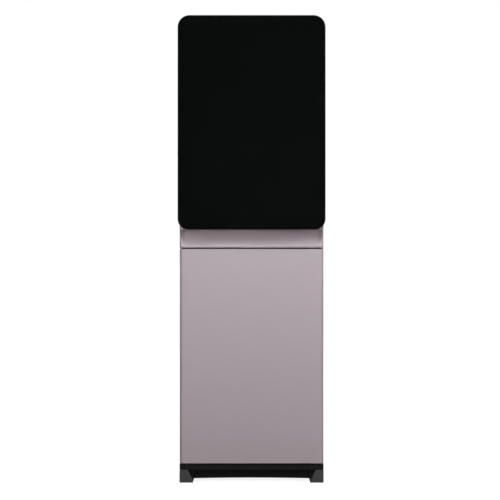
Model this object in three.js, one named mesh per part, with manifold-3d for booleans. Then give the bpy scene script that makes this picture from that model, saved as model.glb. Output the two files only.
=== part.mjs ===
import * as THREE from 'three';
import { mergeVertices } from 'three/addons/utils/BufferGeometryUtils.js';
import Module from 'manifold-3d';

const wasm = await Module();
wasm.setup();

// A tall bottom load water cooler, in millimetres. X is to the right, the front faces -Y and
// Z is up. The origin is on the floor under the middle of the whole outline.

// Overall sizes and walls
const bodyWidth = 340;          // outside of the side panels
const overallDepth = 380;       // front of the glass to the back of the condenser
const sheet = 0.8;              // steel sheet of panels and shelves
const wall = 3;                 // moulded plastic walls
const seatGap = 0.3;            // between pieces that rest on each other
const past = 1;                 // cutters run on this far beyond what they open

// Heights, from the floor up
const footHeight = 30;
const baseHeight = 13;
const lowerDoorHeight = 505.5;
const neckHeight = 44;
const glassHeight = 503;
const glassDrop = 0.5;          // the glass hangs this far below the top of the neck
const leafThickness = 1.5;      // hinge leaves above and below the lower door
const leafGap = 0.7;            // running gap between a leaf and its door
const coverDrop = 5;            // top cover below the top edge of the glass
const coverHeight = 20;

const baseTop = footHeight + baseHeight;
const lowLeafZ = baseTop + seatGap;
const lowerDoorZ0 = lowLeafZ + leafThickness + leafGap;
const lowerDoorZ1 = lowerDoorZ0 + lowerDoorHeight;
const highLeafZ = lowerDoorZ1 + leafGap;
const neckZ0 = highLeafZ + leafThickness + seatGap;
const neckZ1 = neckZ0 + neckHeight;
const glassZ0 = neckZ1 - glassDrop;
const glassZ1 = glassZ0 + glassHeight;
const coverZ1 = glassZ1 - coverDrop;
const coverZ0 = coverZ1 - coverHeight;
const shellZ1 = coverZ0 - seatGap;

// Depths, from the glass back
const glassThickness = 4;
const doorFrameDepth = 13.7;
const doorSwingGap = 4;         // behind each closed door
const neckProud = 2;            // neck in front of the fascia
const lowerDoorDepth = 22;
const condenserSpace = 25;      // rear panel to the back of the condenser's brackets

const glassY0 = -overallDepth / 2;
const glassY1 = glassY0 + glassThickness;
const doorFrameY0 = glassY1 + seatGap;
const doorFrameY1 = doorFrameY0 + doorFrameDepth;
const fasciaY0 = doorFrameY1 + doorSwingGap;
const frontY0 = fasciaY0 - neckProud;
const lowerDoorY1 = frontY0 + lowerDoorDepth;
const cabinetY0 = lowerDoorY1 + doorSwingGap;
const mouldedY1 = cabinetY0 - seatGap;
const rearY1 = overallDepth / 2 - condenserSpace;
const rearY0 = rearY1 - sheet;
const sideY1 = rearY0 - seatGap;
const behindY = rearY1 + seatGap;

const halfBody = bodyWidth / 2;
const innerX = halfBody - sheet;

// Finishes
function finish(color, roughness, metalness) {
  return new THREE.MeshStandardMaterial({ color, roughness, metalness });
}
const champagne = finish(0xb0a3a9, 0.38, 0.35);
const blackGlass = finish(0x0a0b0b, 0.06, 0);
const blackPlastic = finish(0x1c1c1e, 0.5, 0);
const greyPlastic = finish(0x3c3c3c, 0.55, 0);
const palePlastic = finish(0xd9dadc, 0.5, 0);
const whitePlastic = finish(0xf0f0ee, 0.45, 0);
const redPlastic = finish(0xb3211f, 0.4, 0);
const bluePlastic = finish(0x1f4fa8, 0.4, 0);
const lampLens = finish(0xd8e2e8, 0.2, 0);
const steelSheet = finish(0x9c9ea2, 0.5, 0.8);
const stainless = finish(0xc9cbce, 0.28, 1);
const enamelBlack = finish(0x17181a, 0.45, 0.3);
const copper = finish(0xb9704a, 0.35, 1);
const foam = finish(0xe8e6df, 0.95, 0);
const tubing = finish(0xe6ecee, 0.35, 0);

// One welded mesh with its faces pointing out.
function weld(geometry) {
  const bare = geometry.clone();
  bare.deleteAttribute('normal');
  bare.deleteAttribute('uv');
  const merged = mergeVertices(bare, 1e-4);
  const position = merged.attributes.position;
  const corner = (i) => new THREE.Vector3().fromBufferAttribute(position, i);
  const kept = [];
  let volume = 0;
  for (let i = 0; i < merged.index.count; i += 3) {
    const [a, b, c] = [0, 1, 2].map((k) => merged.index.getX(i + k));
    if (a === b || b === c || c === a) continue;
    kept.push([a, b, c]);
    volume += corner(a).dot(corner(b).cross(corner(c)));
  }
  const faces = volume > 0 ? kept : kept.map(([a, b, c]) => [a, c, b]);
  merged.setIndex(faces.flat());
  return merged;
}

function toSolid(geometry) {
  const welded = weld(geometry);
  return new wasm.Manifold(new wasm.Mesh({
    numProp: 3,
    vertProperties: new Float32Array(welded.attributes.position.array),
    triVerts: new Uint32Array(welded.index.array),
  }));
}

function toGeometry(solid) {
  const mesh = solid.getMesh();
  const geometry = new THREE.BufferGeometry();
  geometry.setAttribute('position', new THREE.BufferAttribute(mesh.vertProperties, 3));
  geometry.setIndex(new THREE.BufferAttribute(mesh.triVerts, 1));
  return geometry;
}

const join = (...pieces) => toGeometry(pieces.map(toSolid).reduce((a, b) => a.add(b)));
const cut = (piece, ...cutters) => toGeometry(
  cutters.map(toSolid).reduce((a, b) => a.subtract(b), toSolid(piece)));
const overlap = (one, other) => toGeometry(toSolid(one).intersect(toSolid(other)));

// A box between two corners.
function block(x0, x1, y0, y1, z0, z1) {
  const geometry = new THREE.BoxGeometry(x1 - x0, y1 - y0, z1 - z0);
  return geometry.translate((x0 + x1) / 2, (y0 + y1) / 2, (z0 + z1) / 2);
}

// A rectangle with four corner radii, in the order low left, low right, high right, high left.
function roundedShape(u0, u1, v0, v1, radii) {
  const [a, b, c, d] = Array.isArray(radii) ? radii : [radii, radii, radii, radii];
  const shape = new THREE.Shape();
  shape.moveTo(u0 + a, v0);
  shape.lineTo(u1 - b, v0);
  if (b) shape.absarc(u1 - b, v0 + b, b, -Math.PI / 2, 0);
  shape.lineTo(u1, v1 - c);
  if (c) shape.absarc(u1 - c, v1 - c, c, 0, Math.PI / 2);
  shape.lineTo(u0 + d, v1);
  if (d) shape.absarc(u0 + d, v1 - d, d, Math.PI / 2, Math.PI);
  shape.lineTo(u0, v0 + a);
  if (a) shape.absarc(u0 + a, v0 + a, a, Math.PI, 1.5 * Math.PI);
  return shape;
}

const outline = (points) => new THREE.Shape(points.map(([u, v]) => new THREE.Vector2(u, v)));

// A plan outline (x, y) raised from z0 to z1.
function upright(shape, z0, z1, curveSegments = 6) {
  const geometry = new THREE.ExtrudeGeometry(shape, { depth: z1 - z0, bevelEnabled: false, curveSegments });
  return geometry.translate(0, 0, z0);
}

// A front outline (x, z) between y0 and y1.
function frontPlate(shape, y0, y1, curveSegments = 6) {
  const geometry = new THREE.ExtrudeGeometry(shape, { depth: y1 - y0, bevelEnabled: false, curveSegments });
  return geometry.rotateX(Math.PI / 2).translate(0, y1, 0);
}

// A side outline (y, z) between x0 and x1.
function sideSweep(shape, x0, x1, curveSegments = 6) {
  const geometry = new THREE.ExtrudeGeometry(shape, { depth: x1 - x0, bevelEnabled: false, curveSegments });
  const turn = new THREE.Matrix4().makeBasis(
    new THREE.Vector3(0, 1, 0), new THREE.Vector3(0, 0, 1), new THREE.Vector3(1, 0, 0));
  return geometry.applyMatrix4(turn).translate(x0, 0, 0);
}

// A round bar between two points.
function rod(radius, from, to, sides = 12) {
  const start = new THREE.Vector3(...from);
  const end = new THREE.Vector3(...to);
  const way = end.clone().sub(start);
  const geometry = new THREE.CylinderGeometry(radius, radius, way.length(), sides);
  const turn = new THREE.Quaternion().setFromUnitVectors(new THREE.Vector3(0, 1, 0), way.clone().normalize());
  return geometry.applyQuaternion(turn).translate(...start.add(end).multiplyScalar(0.5).toArray());
}

// A turned piece about a vertical axis at (x, y), from [radius, z] points that start and end on it.
function turned(profile, x, y, sides = 20) {
  const geometry = new THREE.LatheGeometry(profile.map(([r, z]) => new THREE.Vector2(r, z)), sides);
  return geometry.rotateX(Math.PI / 2).translate(x, y, 0);
}

// Straight runs joined by round bends, with a ring only at the ends of each run and in its bends.
class Route extends THREE.Curve {
  constructor(corners, bendRadius, bendSteps = 4) {
    super();
    const stops = corners.map((c) => new THREE.Vector3(...c));
    this.rings = [{ at: stops[0], along: stops[1].clone().sub(stops[0]).normalize() }];
    for (let i = 1; i < stops.length - 1; i += 1) {
      const before = stops[i].clone().sub(stops[i - 1]).normalize();
      const after = stops[i + 1].clone().sub(stops[i]).normalize();
      const angle = before.angleTo(after);
      const inset = bendRadius * Math.tan(angle / 2);
      const inward = after.clone().sub(before.clone().multiplyScalar(before.dot(after))).normalize();
      const start = stops[i].clone().addScaledVector(before, -inset);
      const centre = start.clone().addScaledVector(inward, bendRadius);
      for (let k = 0; k <= bendSteps; k += 1) {
        const a = angle * k / bendSteps;
        this.rings.push({
          at: centre.clone().addScaledVector(inward, -bendRadius * Math.cos(a))
            .addScaledVector(before, bendRadius * Math.sin(a)),
          along: before.clone().multiplyScalar(Math.cos(a)).addScaledVector(inward, Math.sin(a)),
        });
      }
    }
    const last = stops[stops.length - 1];
    this.rings.push({ at: last, along: last.clone().sub(stops[stops.length - 2]).normalize() });
    this.steps = this.rings.length - 1;
  }

  getPointAt(u) {
    return this.rings[Math.round(u * this.steps)].at.clone();
  }

  getTangentAt(u) {
    return this.rings[Math.round(u * this.steps)].along.clone();
  }
}

// A round tube along such a route.
function tube(corners, radius, bendRadius, sides = 8, bendSteps = 4) {
  const section = new THREE.Shape();
  for (let i = 0; i < sides; i += 1) {
    const a = 2 * Math.PI * i / sides;
    section[i ? 'lineTo' : 'moveTo'](radius * Math.cos(a), radius * Math.sin(a));
  }
  const route = new Route(corners, bendRadius, bendSteps);
  return new THREE.ExtrudeGeometry(section, { steps: route.steps, extrudePath: route });
}

const cooler = new THREE.Group();
const cabinet = new THREE.Group();
const upperDoor = new THREE.Group();
const lowerDoor = new THREE.Group();
cooler.add(cabinet, upperDoor, lowerDoor);

function addPiece(name, geometry, material, group = cabinet) {
  const mesh = new THREE.Mesh(weld(geometry), material);
  mesh.name = name;
  group.add(mesh);
  return mesh;
}

// Base and feet
const baseSetback = 4;          // base strip behind the front of the lower door
const boardThickness = 4;       // dark board under the strip
const boardBottom = 7.3;        // above the floor
const boardArch = 1.5;          // its lower edge is higher in the middle
const boardSetback = 16;
const footTopWidth = 19;
const footFloorWidth = 32;
const footDepth = 60;
const footProud = 2;            // in front of the lower door
const footFaceDepth = 21;       // slanted front part of a foot
const rearFootInset = 4;        // in front of the rear panel

const baseY0 = frontY0 + baseSetback;
const footY0 = frontY0 - footProud;
const footBlockX = halfBody - footFloorWidth;

function addBase() {
  const slab = block(-halfBody, halfBody, baseY0, rearY1, footHeight, baseTop);
  const y0 = baseY0 + boardSetback;
  const edge = footBlockX - seatGap;
  const rooted = footHeight + baseHeight / 2;
  const board = new THREE.Shape();
  board.moveTo(-edge, boardBottom);
  board.quadraticCurveTo(0, boardBottom + 2 * boardArch, edge, boardBottom);
  board.lineTo(edge, rooted);
  board.lineTo(-edge, rooted);
  addPiece('base_frame', join(slab, frontPlate(board, y0, y0 + boardThickness)), blackPlastic);
}

function addFoot(name, side, y0, faceDepth) {
  const top = footHeight - seatGap;
  const face = outline([
    [side * halfBody, 0], [side * footBlockX, 0],
    [side * (halfBody - footTopWidth), top], [side * halfBody, top]]);
  const solid = frontPlate(face, y0, y0 + footDepth);
  const inner = Math.min(side * footBlockX, side * halfBody);
  const backing = block(inner, inner + footFloorWidth, y0 + faceDepth, y0 + footDepth, 0, top);
  addPiece(name, faceDepth < footDepth ? join(solid, backing) : solid, greyPlastic);
}

function addFeet() {
  const rearFootY0 = rearY1 - footDepth - rearFootInset;
  addFoot('front_foot_left', -1, footY0, footFaceDepth);
  addFoot('front_foot_right', 1, footY0, footFaceDepth);
  addFoot('rear_foot_left', -1, rearFootY0, footDepth);
  addFoot('rear_foot_right', 1, rearFootY0, footDepth);
}

// Cabinet shell
const flangeWidth = 10;         // turned-in edges of the side panels
const coverEdgeRadius = 20;     // rounded long edges of the top cover
const coverWall = 3;

function addSidePanel(name, side) {
  const z0 = baseTop + seatGap;
  const outer = side * halfBody;
  const inner = side * innerX;
  const lip = side * (halfBody - flangeWidth);
  const plan = outline([
    [outer, cabinetY0], [lip, cabinetY0], [lip, cabinetY0 + sheet], [inner, cabinetY0 + sheet],
    [inner, sideY1 - sheet], [lip, sideY1 - sheet], [lip, sideY1], [outer, sideY1]]);
  addPiece(name, upright(plan, z0, shellZ1), champagne);
}

function addTopCover() {
  const shell = (inset, top) => frontPlate(
    roundedShape(-halfBody + inset, halfBody - inset, coverZ0, top,
      [0, 0, coverEdgeRadius - inset, coverEdgeRadius - inset]),
    fasciaY0 + inset, rearY1 - inset, 8);
  const hollow = shell(coverWall, coverZ1 - coverWall).translate(0, 0, -seatGap);
  addPiece('top_cover', cut(shell(0, coverZ1), hollow), champagne);
}

// Neck with its finger scoop
const scoopEndWall = 6;         // solid ends beside the scoop
const scoopEndRadius = 14;      // its depth runs out over this at each end
const scoopLip = 4.5;           // front edge below the scoop
const scoopDepth = 20;
const scoopTurn = [12, 8];      // its section bends near here, behind and above the front edge
const neckEdgeRadius = 10;

function addNeck() {
  const plan = roundedShape(-halfBody, halfBody, frontY0, mouldedY1, [neckEdgeRadius, neckEdgeRadius, 0, 0]);
  const body = upright(plan, neckZ0, neckZ1, 6);
  const scoopZ0 = neckZ0 + scoopLip;
  const bowl = new THREE.Shape();
  bowl.moveTo(frontY0 - past, scoopZ0);
  bowl.lineTo(frontY0, scoopZ0);
  bowl.quadraticCurveTo(frontY0 + scoopTurn[0], scoopZ0 + scoopTurn[1], frontY0 + scoopDepth, neckZ1);
  bowl.lineTo(frontY0 + scoopDepth, neckZ1 + past);
  bowl.lineTo(frontY0 - past, neckZ1 + past);
  const scoopHalf = halfBody - scoopEndWall;
  const run = roundedShape(-scoopHalf, scoopHalf, frontY0 - 2 * past, frontY0 + scoopDepth + past,
    [0, 0, scoopEndRadius, scoopEndRadius]);
  const ends = upright(run, scoopZ0 - past, neckZ1 + 2 * past, 5);
  const scoop = overlap(sideSweep(bowl, -scoopHalf, scoopHalf, 9), ends);
  addPiece('neck_panel', cut(body, scoop), champagne);
}

// Tap alcove and the fascia round it
const alcoveWidth = 270;
const alcoveHeight = 330;
const alcoveSill = 29;          // above the neck
const alcoveDepth = 118;
const lensWidth = 60;
const lensHeight = 12;
const lensRadius = 2;
const lensAbove = 40;           // above the alcove
const lensProud = 1.2;

const alcoveX = alcoveWidth / 2;
const alcoveZ0 = neckZ1 + alcoveSill;
const alcoveZ1 = alcoveZ0 + alcoveHeight;
const alcoveY1 = fasciaY0 + alcoveDepth;
const alcoveFloor = alcoveZ0 + wall;
const lensZ0 = alcoveZ1 + lensAbove;

function addFascia() {
  const z0 = neckZ1 + seatGap;
  const body = block(-halfBody, halfBody, fasciaY0, mouldedY1, z0, shellZ1);
  const half = halfBody - wall;
  const hollow = block(-half, half, fasciaY0 + wall, mouldedY1 + past, z0 + wall, shellZ1 - wall);
  const mouth = block(-alcoveX - seatGap, alcoveX + seatGap, fasciaY0 - past, mouldedY1,
    alcoveZ0 - seatGap, alcoveZ1 + seatGap);
  const lensHole = block(-lensWidth / 2 - seatGap, lensWidth / 2 + seatGap, fasciaY0 - past, mouldedY1,
    lensZ0 - seatGap, lensZ0 + lensHeight + seatGap);
  addPiece('upper_fascia', cut(body, hollow, mouth, lensHole), champagne);
  addPiece('indicator_lens', frontPlate(
    roundedShape(-lensWidth / 2, lensWidth / 2, lensZ0, lensZ0 + lensHeight, lensRadius),
    fasciaY0 - lensProud, fasciaY0 + wall, 3), lampLens);
}

// Taps
const tapPitch = 75;
const tapBelow = 65;            // stem's axis under the top of the alcove
const stemRadius = 9;
const stemTail = 10;            // stem behind the alcove
const spoutRadius = 13;
const spoutReach = 50;          // spout's axis in front of the tap panel
const spoutHeight = 45;
const spoutRounding = 2;        // at the top of the spout
const spoutTaper = 8;           // narrowing at its bottom
const nozzleRadius = 7;
const nozzleLength = 12;
const tapPanelThickness = 3;
const tapPanelWidth = 240;
const tapPanelHeight = 84;
const tapPanelRadius = 8;
const collarThickness = 4;
const collarRadius = 15;
const leverWidth = 26;
const leverThickness = 5;
const leverReach = 54;          // tip in front of the pivot
const leverRise = 9;            // pivot above the spout's top
const pivotBack = 10;           // pivot behind the spout's axis
const pivotRadius = 2;
const pivotClearance = 0.3;
const earThickness = 3.5;
const earWidth = 12;
const earInset = 1;             // ears inside the sides of the lever's pad
const earRoot = 8;              // ears start this far below the spout's top
const leverBossRadius = 4.5;
const padGap = 2;               // between the ears and the lever's pad
const padOverlap = 4;           // arm into the pad
const padTipRadius = 10;
const padRadius = 3;
const lockLength = 12;
const lockWidth = 8;
const lockHeight = 3;

const tapZ = alcoveZ1 - tapBelow;
const tapPanelY1 = alcoveY1 - wall - seatGap;
const tapPanelY0 = tapPanelY1 - tapPanelThickness;
const stemY1 = alcoveY1 + stemTail;
const spoutY = tapPanelY0 - spoutReach;
const spoutTop = tapZ + spoutRadius;
const spoutBottom = spoutTop - spoutHeight;
const pivotY = spoutY + pivotBack;
const pivotZ = spoutTop + leverRise;
const pinHalf = leverWidth / 2 - earInset;
const leverNeck = pinHalf - earThickness - seatGap;

const stemHole = (x, y0, y1) => rod(stemRadius + seatGap, [x, y0, tapZ], [x, y1, tapZ], 12);

function addAlcove() {
  const body = block(-alcoveX, alcoveX, fasciaY0, alcoveY1, alcoveZ0, alcoveZ1);
  const half = alcoveX - wall;
  const room = block(-half, half, fasciaY0 - past, alcoveY1 - wall, alcoveFloor, alcoveZ1 - wall);
  const holes = [-tapPitch, 0, tapPitch].map((x) => stemHole(x, alcoveY1 - wall - past, alcoveY1 + past));
  addPiece('alcove_liner', cut(body, room, ...holes), greyPlastic);
  const panel = frontPlate(roundedShape(-tapPanelWidth / 2, tapPanelWidth / 2,
    tapZ - tapPanelHeight / 2, tapZ + tapPanelHeight / 2, tapPanelRadius), tapPanelY0, tapPanelY1, 3);
  const panelHoles = [-tapPitch, 0, tapPitch].map((x) => stemHole(x, tapPanelY0 - past, tapPanelY1 + past));
  addPiece('tap_panel', cut(panel, ...panelHoles), blackPlastic);
}

function tapBody() {
  const collarY1 = tapPanelY0 - seatGap;
  const stem = rod(stemRadius, [0, spoutY, tapZ], [0, stemY1, tapZ], 12);
  const collar = rod(collarRadius, [0, collarY1 - collarThickness, tapZ], [0, collarY1, tapZ], 16);
  const spout = turned([
    [0, spoutBottom - nozzleLength], [nozzleRadius, spoutBottom - nozzleLength],
    [nozzleRadius + 1, spoutBottom], [spoutRadius - 1, spoutBottom + spoutTaper / 3],
    [spoutRadius, spoutBottom + spoutTaper], [spoutRadius, spoutTop - spoutRounding],
    [spoutRadius - spoutRounding, spoutTop], [0, spoutTop]], 0, spoutY, 16);
  const ears = [-1, 1].map((side) => {
    const outer = side * pinHalf;
    const inner = outer - side * earThickness;
    const shape = roundedShape(pivotY - earWidth / 2, pivotY + earWidth / 2,
      spoutTop - earRoot, pivotZ + earWidth / 2, [0, 0, earWidth / 2.2, earWidth / 2.2]);
    return sideSweep(shape, Math.min(inner, outer), Math.max(inner, outer), 3);
  });
  const pinHole = rod(pivotRadius + pivotClearance,
    [-pinHalf - past, pivotY, pivotZ], [pinHalf + past, pivotY, pivotZ]);
  return cut(join(stem, collar, spout, ...ears), pinHole);
}

function tapLever() {
  const under = pivotZ - leverThickness / 2;
  const over = pivotZ + leverThickness / 2;
  const tipY = pivotY - leverReach;
  const padY1 = pivotY - earWidth / 2 - padGap;
  const arm = block(-leverNeck, leverNeck, padY1 - padOverlap, pivotY, under, over);
  const plan = roundedShape(-leverWidth / 2, leverWidth / 2, tipY, padY1,
    [padTipRadius, padTipRadius, padRadius, padRadius]);
  const pad = upright(plan, under, over, 5);
  const boss = rod(leverBossRadius, [-leverNeck, pivotY, pivotZ], [leverNeck, pivotY, pivotZ], 14);
  const pin = rod(pivotRadius, [-pinHalf, pivotY, pivotZ], [pinHalf, pivotY, pivotZ]);
  return join(arm, pad, boss, pin);
}

function addTaps() {
  const taps = [['cold', -tapPitch, bluePlastic], ['room', 0, whitePlastic], ['hot', tapPitch, redPlastic]];
  for (const [name, x, colour] of taps) {
    addPiece(`${name}_tap_body`, tapBody(), blackPlastic).position.x = x;
    addPiece(`${name}_tap_lever`, tapLever(), colour).position.x = x;
  }
  const lockY = pivotY - leverReach / 2;
  const lockZ = pivotZ + leverThickness / 2 + seatGap;
  addPiece('hot_lock_button', upright(
    roundedShape(-lockWidth / 2, lockWidth / 2, lockY - lockLength / 2, lockY + lockLength / 2, 2),
    lockZ, lockZ + lockHeight, 3), whitePlastic).position.x = tapPitch;
}

// Drip tray and its grille
const trayWidth = 210;
const trayDepth = 84;
const trayHeight = 24;
const trayWall = 2.5;
const trayRadius = 8;
const trayInset = 5;            // behind the front of the fascia
const grilleThickness = 3;
const grilleSlots = 11;
const grilleSlotWidth = 7;
const grilleMargin = 14;

function addDripTray() {
  const z0 = alcoveFloor + seatGap;
  const z1 = z0 + trayHeight;
  const y0 = fasciaY0 + trayInset;
  const y1 = y0 + trayDepth;
  const half = trayWidth / 2;
  const plan = (inset) => roundedShape(
    -half + inset, half - inset, y0 + inset, y1 - inset, trayRadius - inset);
  const room = upright(plan(trayWall), z0 + trayWall, z1 + past, 4);
  addPiece('drip_tray', cut(upright(plan(0), z0, z1, 4), room), blackPlastic);
  const pitch = (trayWidth - 2 * grilleMargin) / grilleSlots;
  const slots = [];
  for (let i = 0; i < grilleSlots; i += 1) {
    const x = -half + grilleMargin + pitch * (i + 0.5);
    slots.push(block(x - grilleSlotWidth / 2, x + grilleSlotWidth / 2, y0 + grilleMargin, y1 - grilleMargin,
      z1 - past, z1 + seatGap + grilleThickness + past));
  }
  const plate = upright(plan(0), z1 + seatGap, z1 + seatGap + grilleThickness, 4);
  addPiece('drip_grille', cut(plate, ...slots), stainless);
}

// Bottle bay
const bayRearGap = 13.8;        // between the bay and the rear panel
const traySeatRadius = 137;     // bottle stands inside this
const traySeatRim = 3;
const traySeatFloor = 3;
const traySeatHeight = 14;
const traySeatSlope = 2;        // its inner wall leans out
const probeRadius = 5;
const probeHeadRadius = 10;
const probeHeadHeight = 16;
const probeFootRadius = 8;
const probeFootHeight = 24;
const probeRounding = 2;
const probeInset = 10.7;        // probe's axis from the inner side and rear walls of the bay
const probeTopGap = 26;         // head below the ceiling of the bay
const clipHeight = 18;
const clipRadius = 8;
const clipArm = 6;
const clipMouth = 7;
const clipBelow = 60;           // under the ceiling

const bayX = halfBody - flangeWidth - seatGap;
const bayZ0 = lowLeafZ + leafThickness + seatGap;
const bayZ1 = highLeafZ - seatGap;
const bayY1 = rearY0 - bayRearGap;
const shelfZ0 = highLeafZ + leafThickness + seatGap;
const shelfZ1 = shelfZ0 + sheet;
const bayMiddleY = (cabinetY0 + bayY1 - wall) / 2;
const probeX = -bayX + wall + probeInset;
const probeY = bayY1 - wall - probeInset;
const probeTop = bayZ1 - wall - probeTopGap;
const hosePort = (z0, z1) => rod(probeRadius + seatGap, [probeX, probeY, z0], [probeX, probeY, z1]);

function addBottleBay() {
  const body = block(-bayX, bayX, cabinetY0, bayY1, bayZ0, bayZ1);
  const room = block(-bayX + wall, bayX - wall, cabinetY0 - past, bayY1 - wall, bayZ0 + wall, bayZ1 - wall);
  addPiece('bottle_bay_liner', cut(body, room, hosePort(bayZ1 - wall - past, bayZ1 + past)), palePlastic);
  const z0 = bayZ0 + wall + seatGap;
  addPiece('bottle_tray', turned([
    [0, z0], [traySeatRadius + traySeatRim, z0], [traySeatRadius + traySeatRim, z0 + traySeatHeight],
    [traySeatRadius, z0 + traySeatHeight], [traySeatRadius - traySeatSlope, z0 + traySeatFloor],
    [0, z0 + traySeatFloor]], 0, bayMiddleY, 40), greyPlastic);
}

function addProbe() {
  const z0 = bayZ0 + wall + seatGap;
  addPiece('suction_probe', turned([
    [0, z0], [probeFootRadius - probeRounding, z0], [probeFootRadius, z0 + probeRounding],
    [probeFootRadius, z0 + probeFootHeight], [probeRadius, z0 + probeFootHeight + 2 * probeRounding],
    [probeRadius, probeTop - probeHeadHeight], [probeHeadRadius, probeTop - probeHeadHeight + probeRounding],
    [probeHeadRadius, probeTop - probeRounding], [probeHeadRadius - probeRounding, probeTop], [0, probeTop]],
    probeX, probeY, 14), stainless);
  const clipZ1 = bayZ1 - wall - clipBelow;
  const clipZ0 = clipZ1 - clipHeight;
  const ring = rod(clipRadius, [probeX, probeY, clipZ0], [probeX, probeY, clipZ1], 16);
  const arm = block(-bayX + wall + seatGap, probeX,
    probeY - clipArm / 2, probeY + clipArm / 2, clipZ0, clipZ1);
  const bore = rod(probeRadius + seatGap, [probeX, probeY, clipZ0 - past], [probeX, probeY, clipZ1 + past]);
  const mouth = block(probeX, probeX + clipRadius + past, probeY - clipMouth / 2, probeY + clipMouth / 2,
    clipZ0 - past, clipZ1 + past);
  addPiece('probe_holder', cut(join(ring, arm), bore, mouth), greyPlastic);
}

// Compressor's height sets the tank shelf above it
const compressorHeight = 132;
const legHeight = 14;
const legPlate = 2;

const legZ0 = shelfZ1 + seatGap;
const compressorZ0 = legZ0 + legHeight + legPlate + seatGap;

// Shelves
const tankShelfAbove = 35;      // underside of the tank shelf above the compressor
const shelfTurnDown = 15;
const shelfBehindPipes = 9;
const pipeRadius = 4;           // water pipes and the stubs they meet
const pipeY = 32;               // vertical pipe runs behind the alcove

const tankShelfZ0 = compressorZ0 + compressorHeight + tankShelfAbove;
const pipeRunY = alcoveY1 + pipeY;
const tankShelfY0 = pipeRunY + pipeRadius + shelfBehindPipes;

function addShelves() {
  const half = innerX - seatGap;
  const y1 = sideY1 - sheet - seatGap;
  const shelf = block(-half, half, cabinetY0 + sheet + seatGap, y1, shelfZ0, shelfZ1);
  addPiece('mid_shelf', cut(shelf, hosePort(shelfZ0 - past, shelfZ1 + past)), steelSheet);
  const plate = block(-half, half, tankShelfY0, y1, tankShelfZ0, tankShelfZ0 + sheet);
  const lipZ0 = tankShelfZ0 - shelfTurnDown;
  const lip = block(-half, half, tankShelfY0, tankShelfY0 + sheet, lipZ0, tankShelfZ0 + sheet);
  addPiece('tank_shelf', join(plate, lip), steelSheet);
}

// Tanks
const hotX = 85;
const coldHeight = 190;
const tankBehindAlcove = 50;    // front of the cold tank's foam
const tankRearGap = 14.2;       // its back from the rear panel
const tankSideGap = 19.2;       // its left side from the side panel
const foamThickness = 25;
const hotRadius = 42;
const hotHeight = 170;
const jacketThickness = 18;
const tankWall = 1;
const domeShare = 0.3;          // a domed end's height over the tank's radius
const stubProud = 3;            // pipe stubs outside the foam
const coldStubAbove = 60;       // above the bottom of the cold tank
const stubHoleDepth = 20;
const pipeBend = 9;
const coldRunAhead = 8;         // cold pipe in front of the other runs
const hotPipeAbove = 30;        // over the top of the jacket

const tankY0 = alcoveY1 + tankBehindAlcove;
const tankY1 = rearY0 - tankRearGap;
const tankY = (tankY0 + tankY1) / 2;
const coldX = -tapPitch;
const coldRadius = Math.min((tankY1 - tankY0) / 2, innerX + coldX - tankSideGap) - foamThickness;
const tankFloor = tankShelfZ0 + sheet + seatGap;
const coldZ0 = tankFloor + foamThickness;
const coldZ1 = coldZ0 + coldHeight;
const hotZ0 = tankFloor + jacketThickness;
const hotZ1 = hotZ0 + hotHeight;
const coldStubZ = coldZ0 + coldStubAbove;
const coldStubY = tankY - coldRadius - foamThickness - stubProud;
const hotStubZ = hotZ1 + jacketThickness + stubProud;

// A tank's outline with domed ends.
function tankShape(x, radius, z0, z1) {
  const dome = radius * domeShare;
  const profile = [[0, z0], [radius * 0.6, z0 + dome * 0.25], [radius, z0 + dome],
    [radius, z1 - dome], [radius * 0.6, z1 - dome * 0.25], [0, z1]];
  return turned(profile, x, tankY, 24);
}

// Foam round a tank: a cup whose floor and roof follow it, open where the pipe comes out.
function tankFoam(x, radius, z0, z1, thickness) {
  const outer = turned([[0, z0 - thickness], [radius + thickness, z0 - thickness],
    [radius + thickness, z1 + thickness], [0, z1 + thickness]], x, tankY, 24);
  return cut(outer, tankShape(x, radius + seatGap, z0 - seatGap, z1 + seatGap));
}

// A hollow tank with a pipe stub from its middle to stubEnd, which opens into it.
function tankShell(x, radius, z0, z1, stubEnd) {
  const middle = [x, tankY, Math.min(stubEnd[2], (z0 + z1) / 2)];
  const past = stubEnd.map((v, i) => v + (v - middle[i]) * 0.1);
  const hollow = tankShape(x, radius - tankWall, z0 + tankWall, z1 - tankWall);
  return cut(join(tankShape(x, radius, z0, z1), rod(pipeRadius, middle, stubEnd)),
    hollow, rod(pipeRadius - tankWall, middle, past));
}

function addTanks() {
  const coldHole = rod(pipeRadius + seatGap, [coldX, tankY, coldStubZ], [coldX, coldStubY - past, coldStubZ]);
  const coldStub = [coldX, coldStubY, coldStubZ];
  addPiece('cold_tank', tankShell(coldX, coldRadius, coldZ0, coldZ1, coldStub), stainless);
  addPiece('cold_tank_foam', cut(tankFoam(coldX, coldRadius, coldZ0, coldZ1, foamThickness), coldHole), foam);
  const hotHole = rod(pipeRadius + seatGap,
    [hotX, tankY, hotZ1 - stubHoleDepth], [hotX, tankY, hotStubZ + past]);
  addPiece('hot_tank', tankShell(hotX, hotRadius, hotZ0, hotZ1, [hotX, tankY, hotStubZ]), stainless);
  addPiece('hot_tank_jacket', cut(tankFoam(hotX, hotRadius, hotZ0, hotZ1, jacketThickness), hotHole), foam);
}

// Pump and pipes
const pumpX = 0;
const pumpBehindAlcove = -20;   // pump's axis from the back of the alcove
const pumpRadius = 22;
const pumpHeadRadius = 26;
const pumpHeight = 46;
const pumpHeadHeight = 12;
const pumpRounding = 2;
const pumpStub = 10;            // its pipes outside the head
const pumpFootSize = 60;
const pumpFootThickness = 3;

const pumpY = alcoveY1 + pumpBehindAlcove;
const pumpZ0 = shelfZ1 + seatGap;
const pumpZ1 = pumpZ0 + pumpFootThickness + pumpHeight;
const pumpStubZ = pumpZ1 + pumpHeadHeight / 2;
const pumpReach = pumpHeadRadius + pumpStub;

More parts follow.
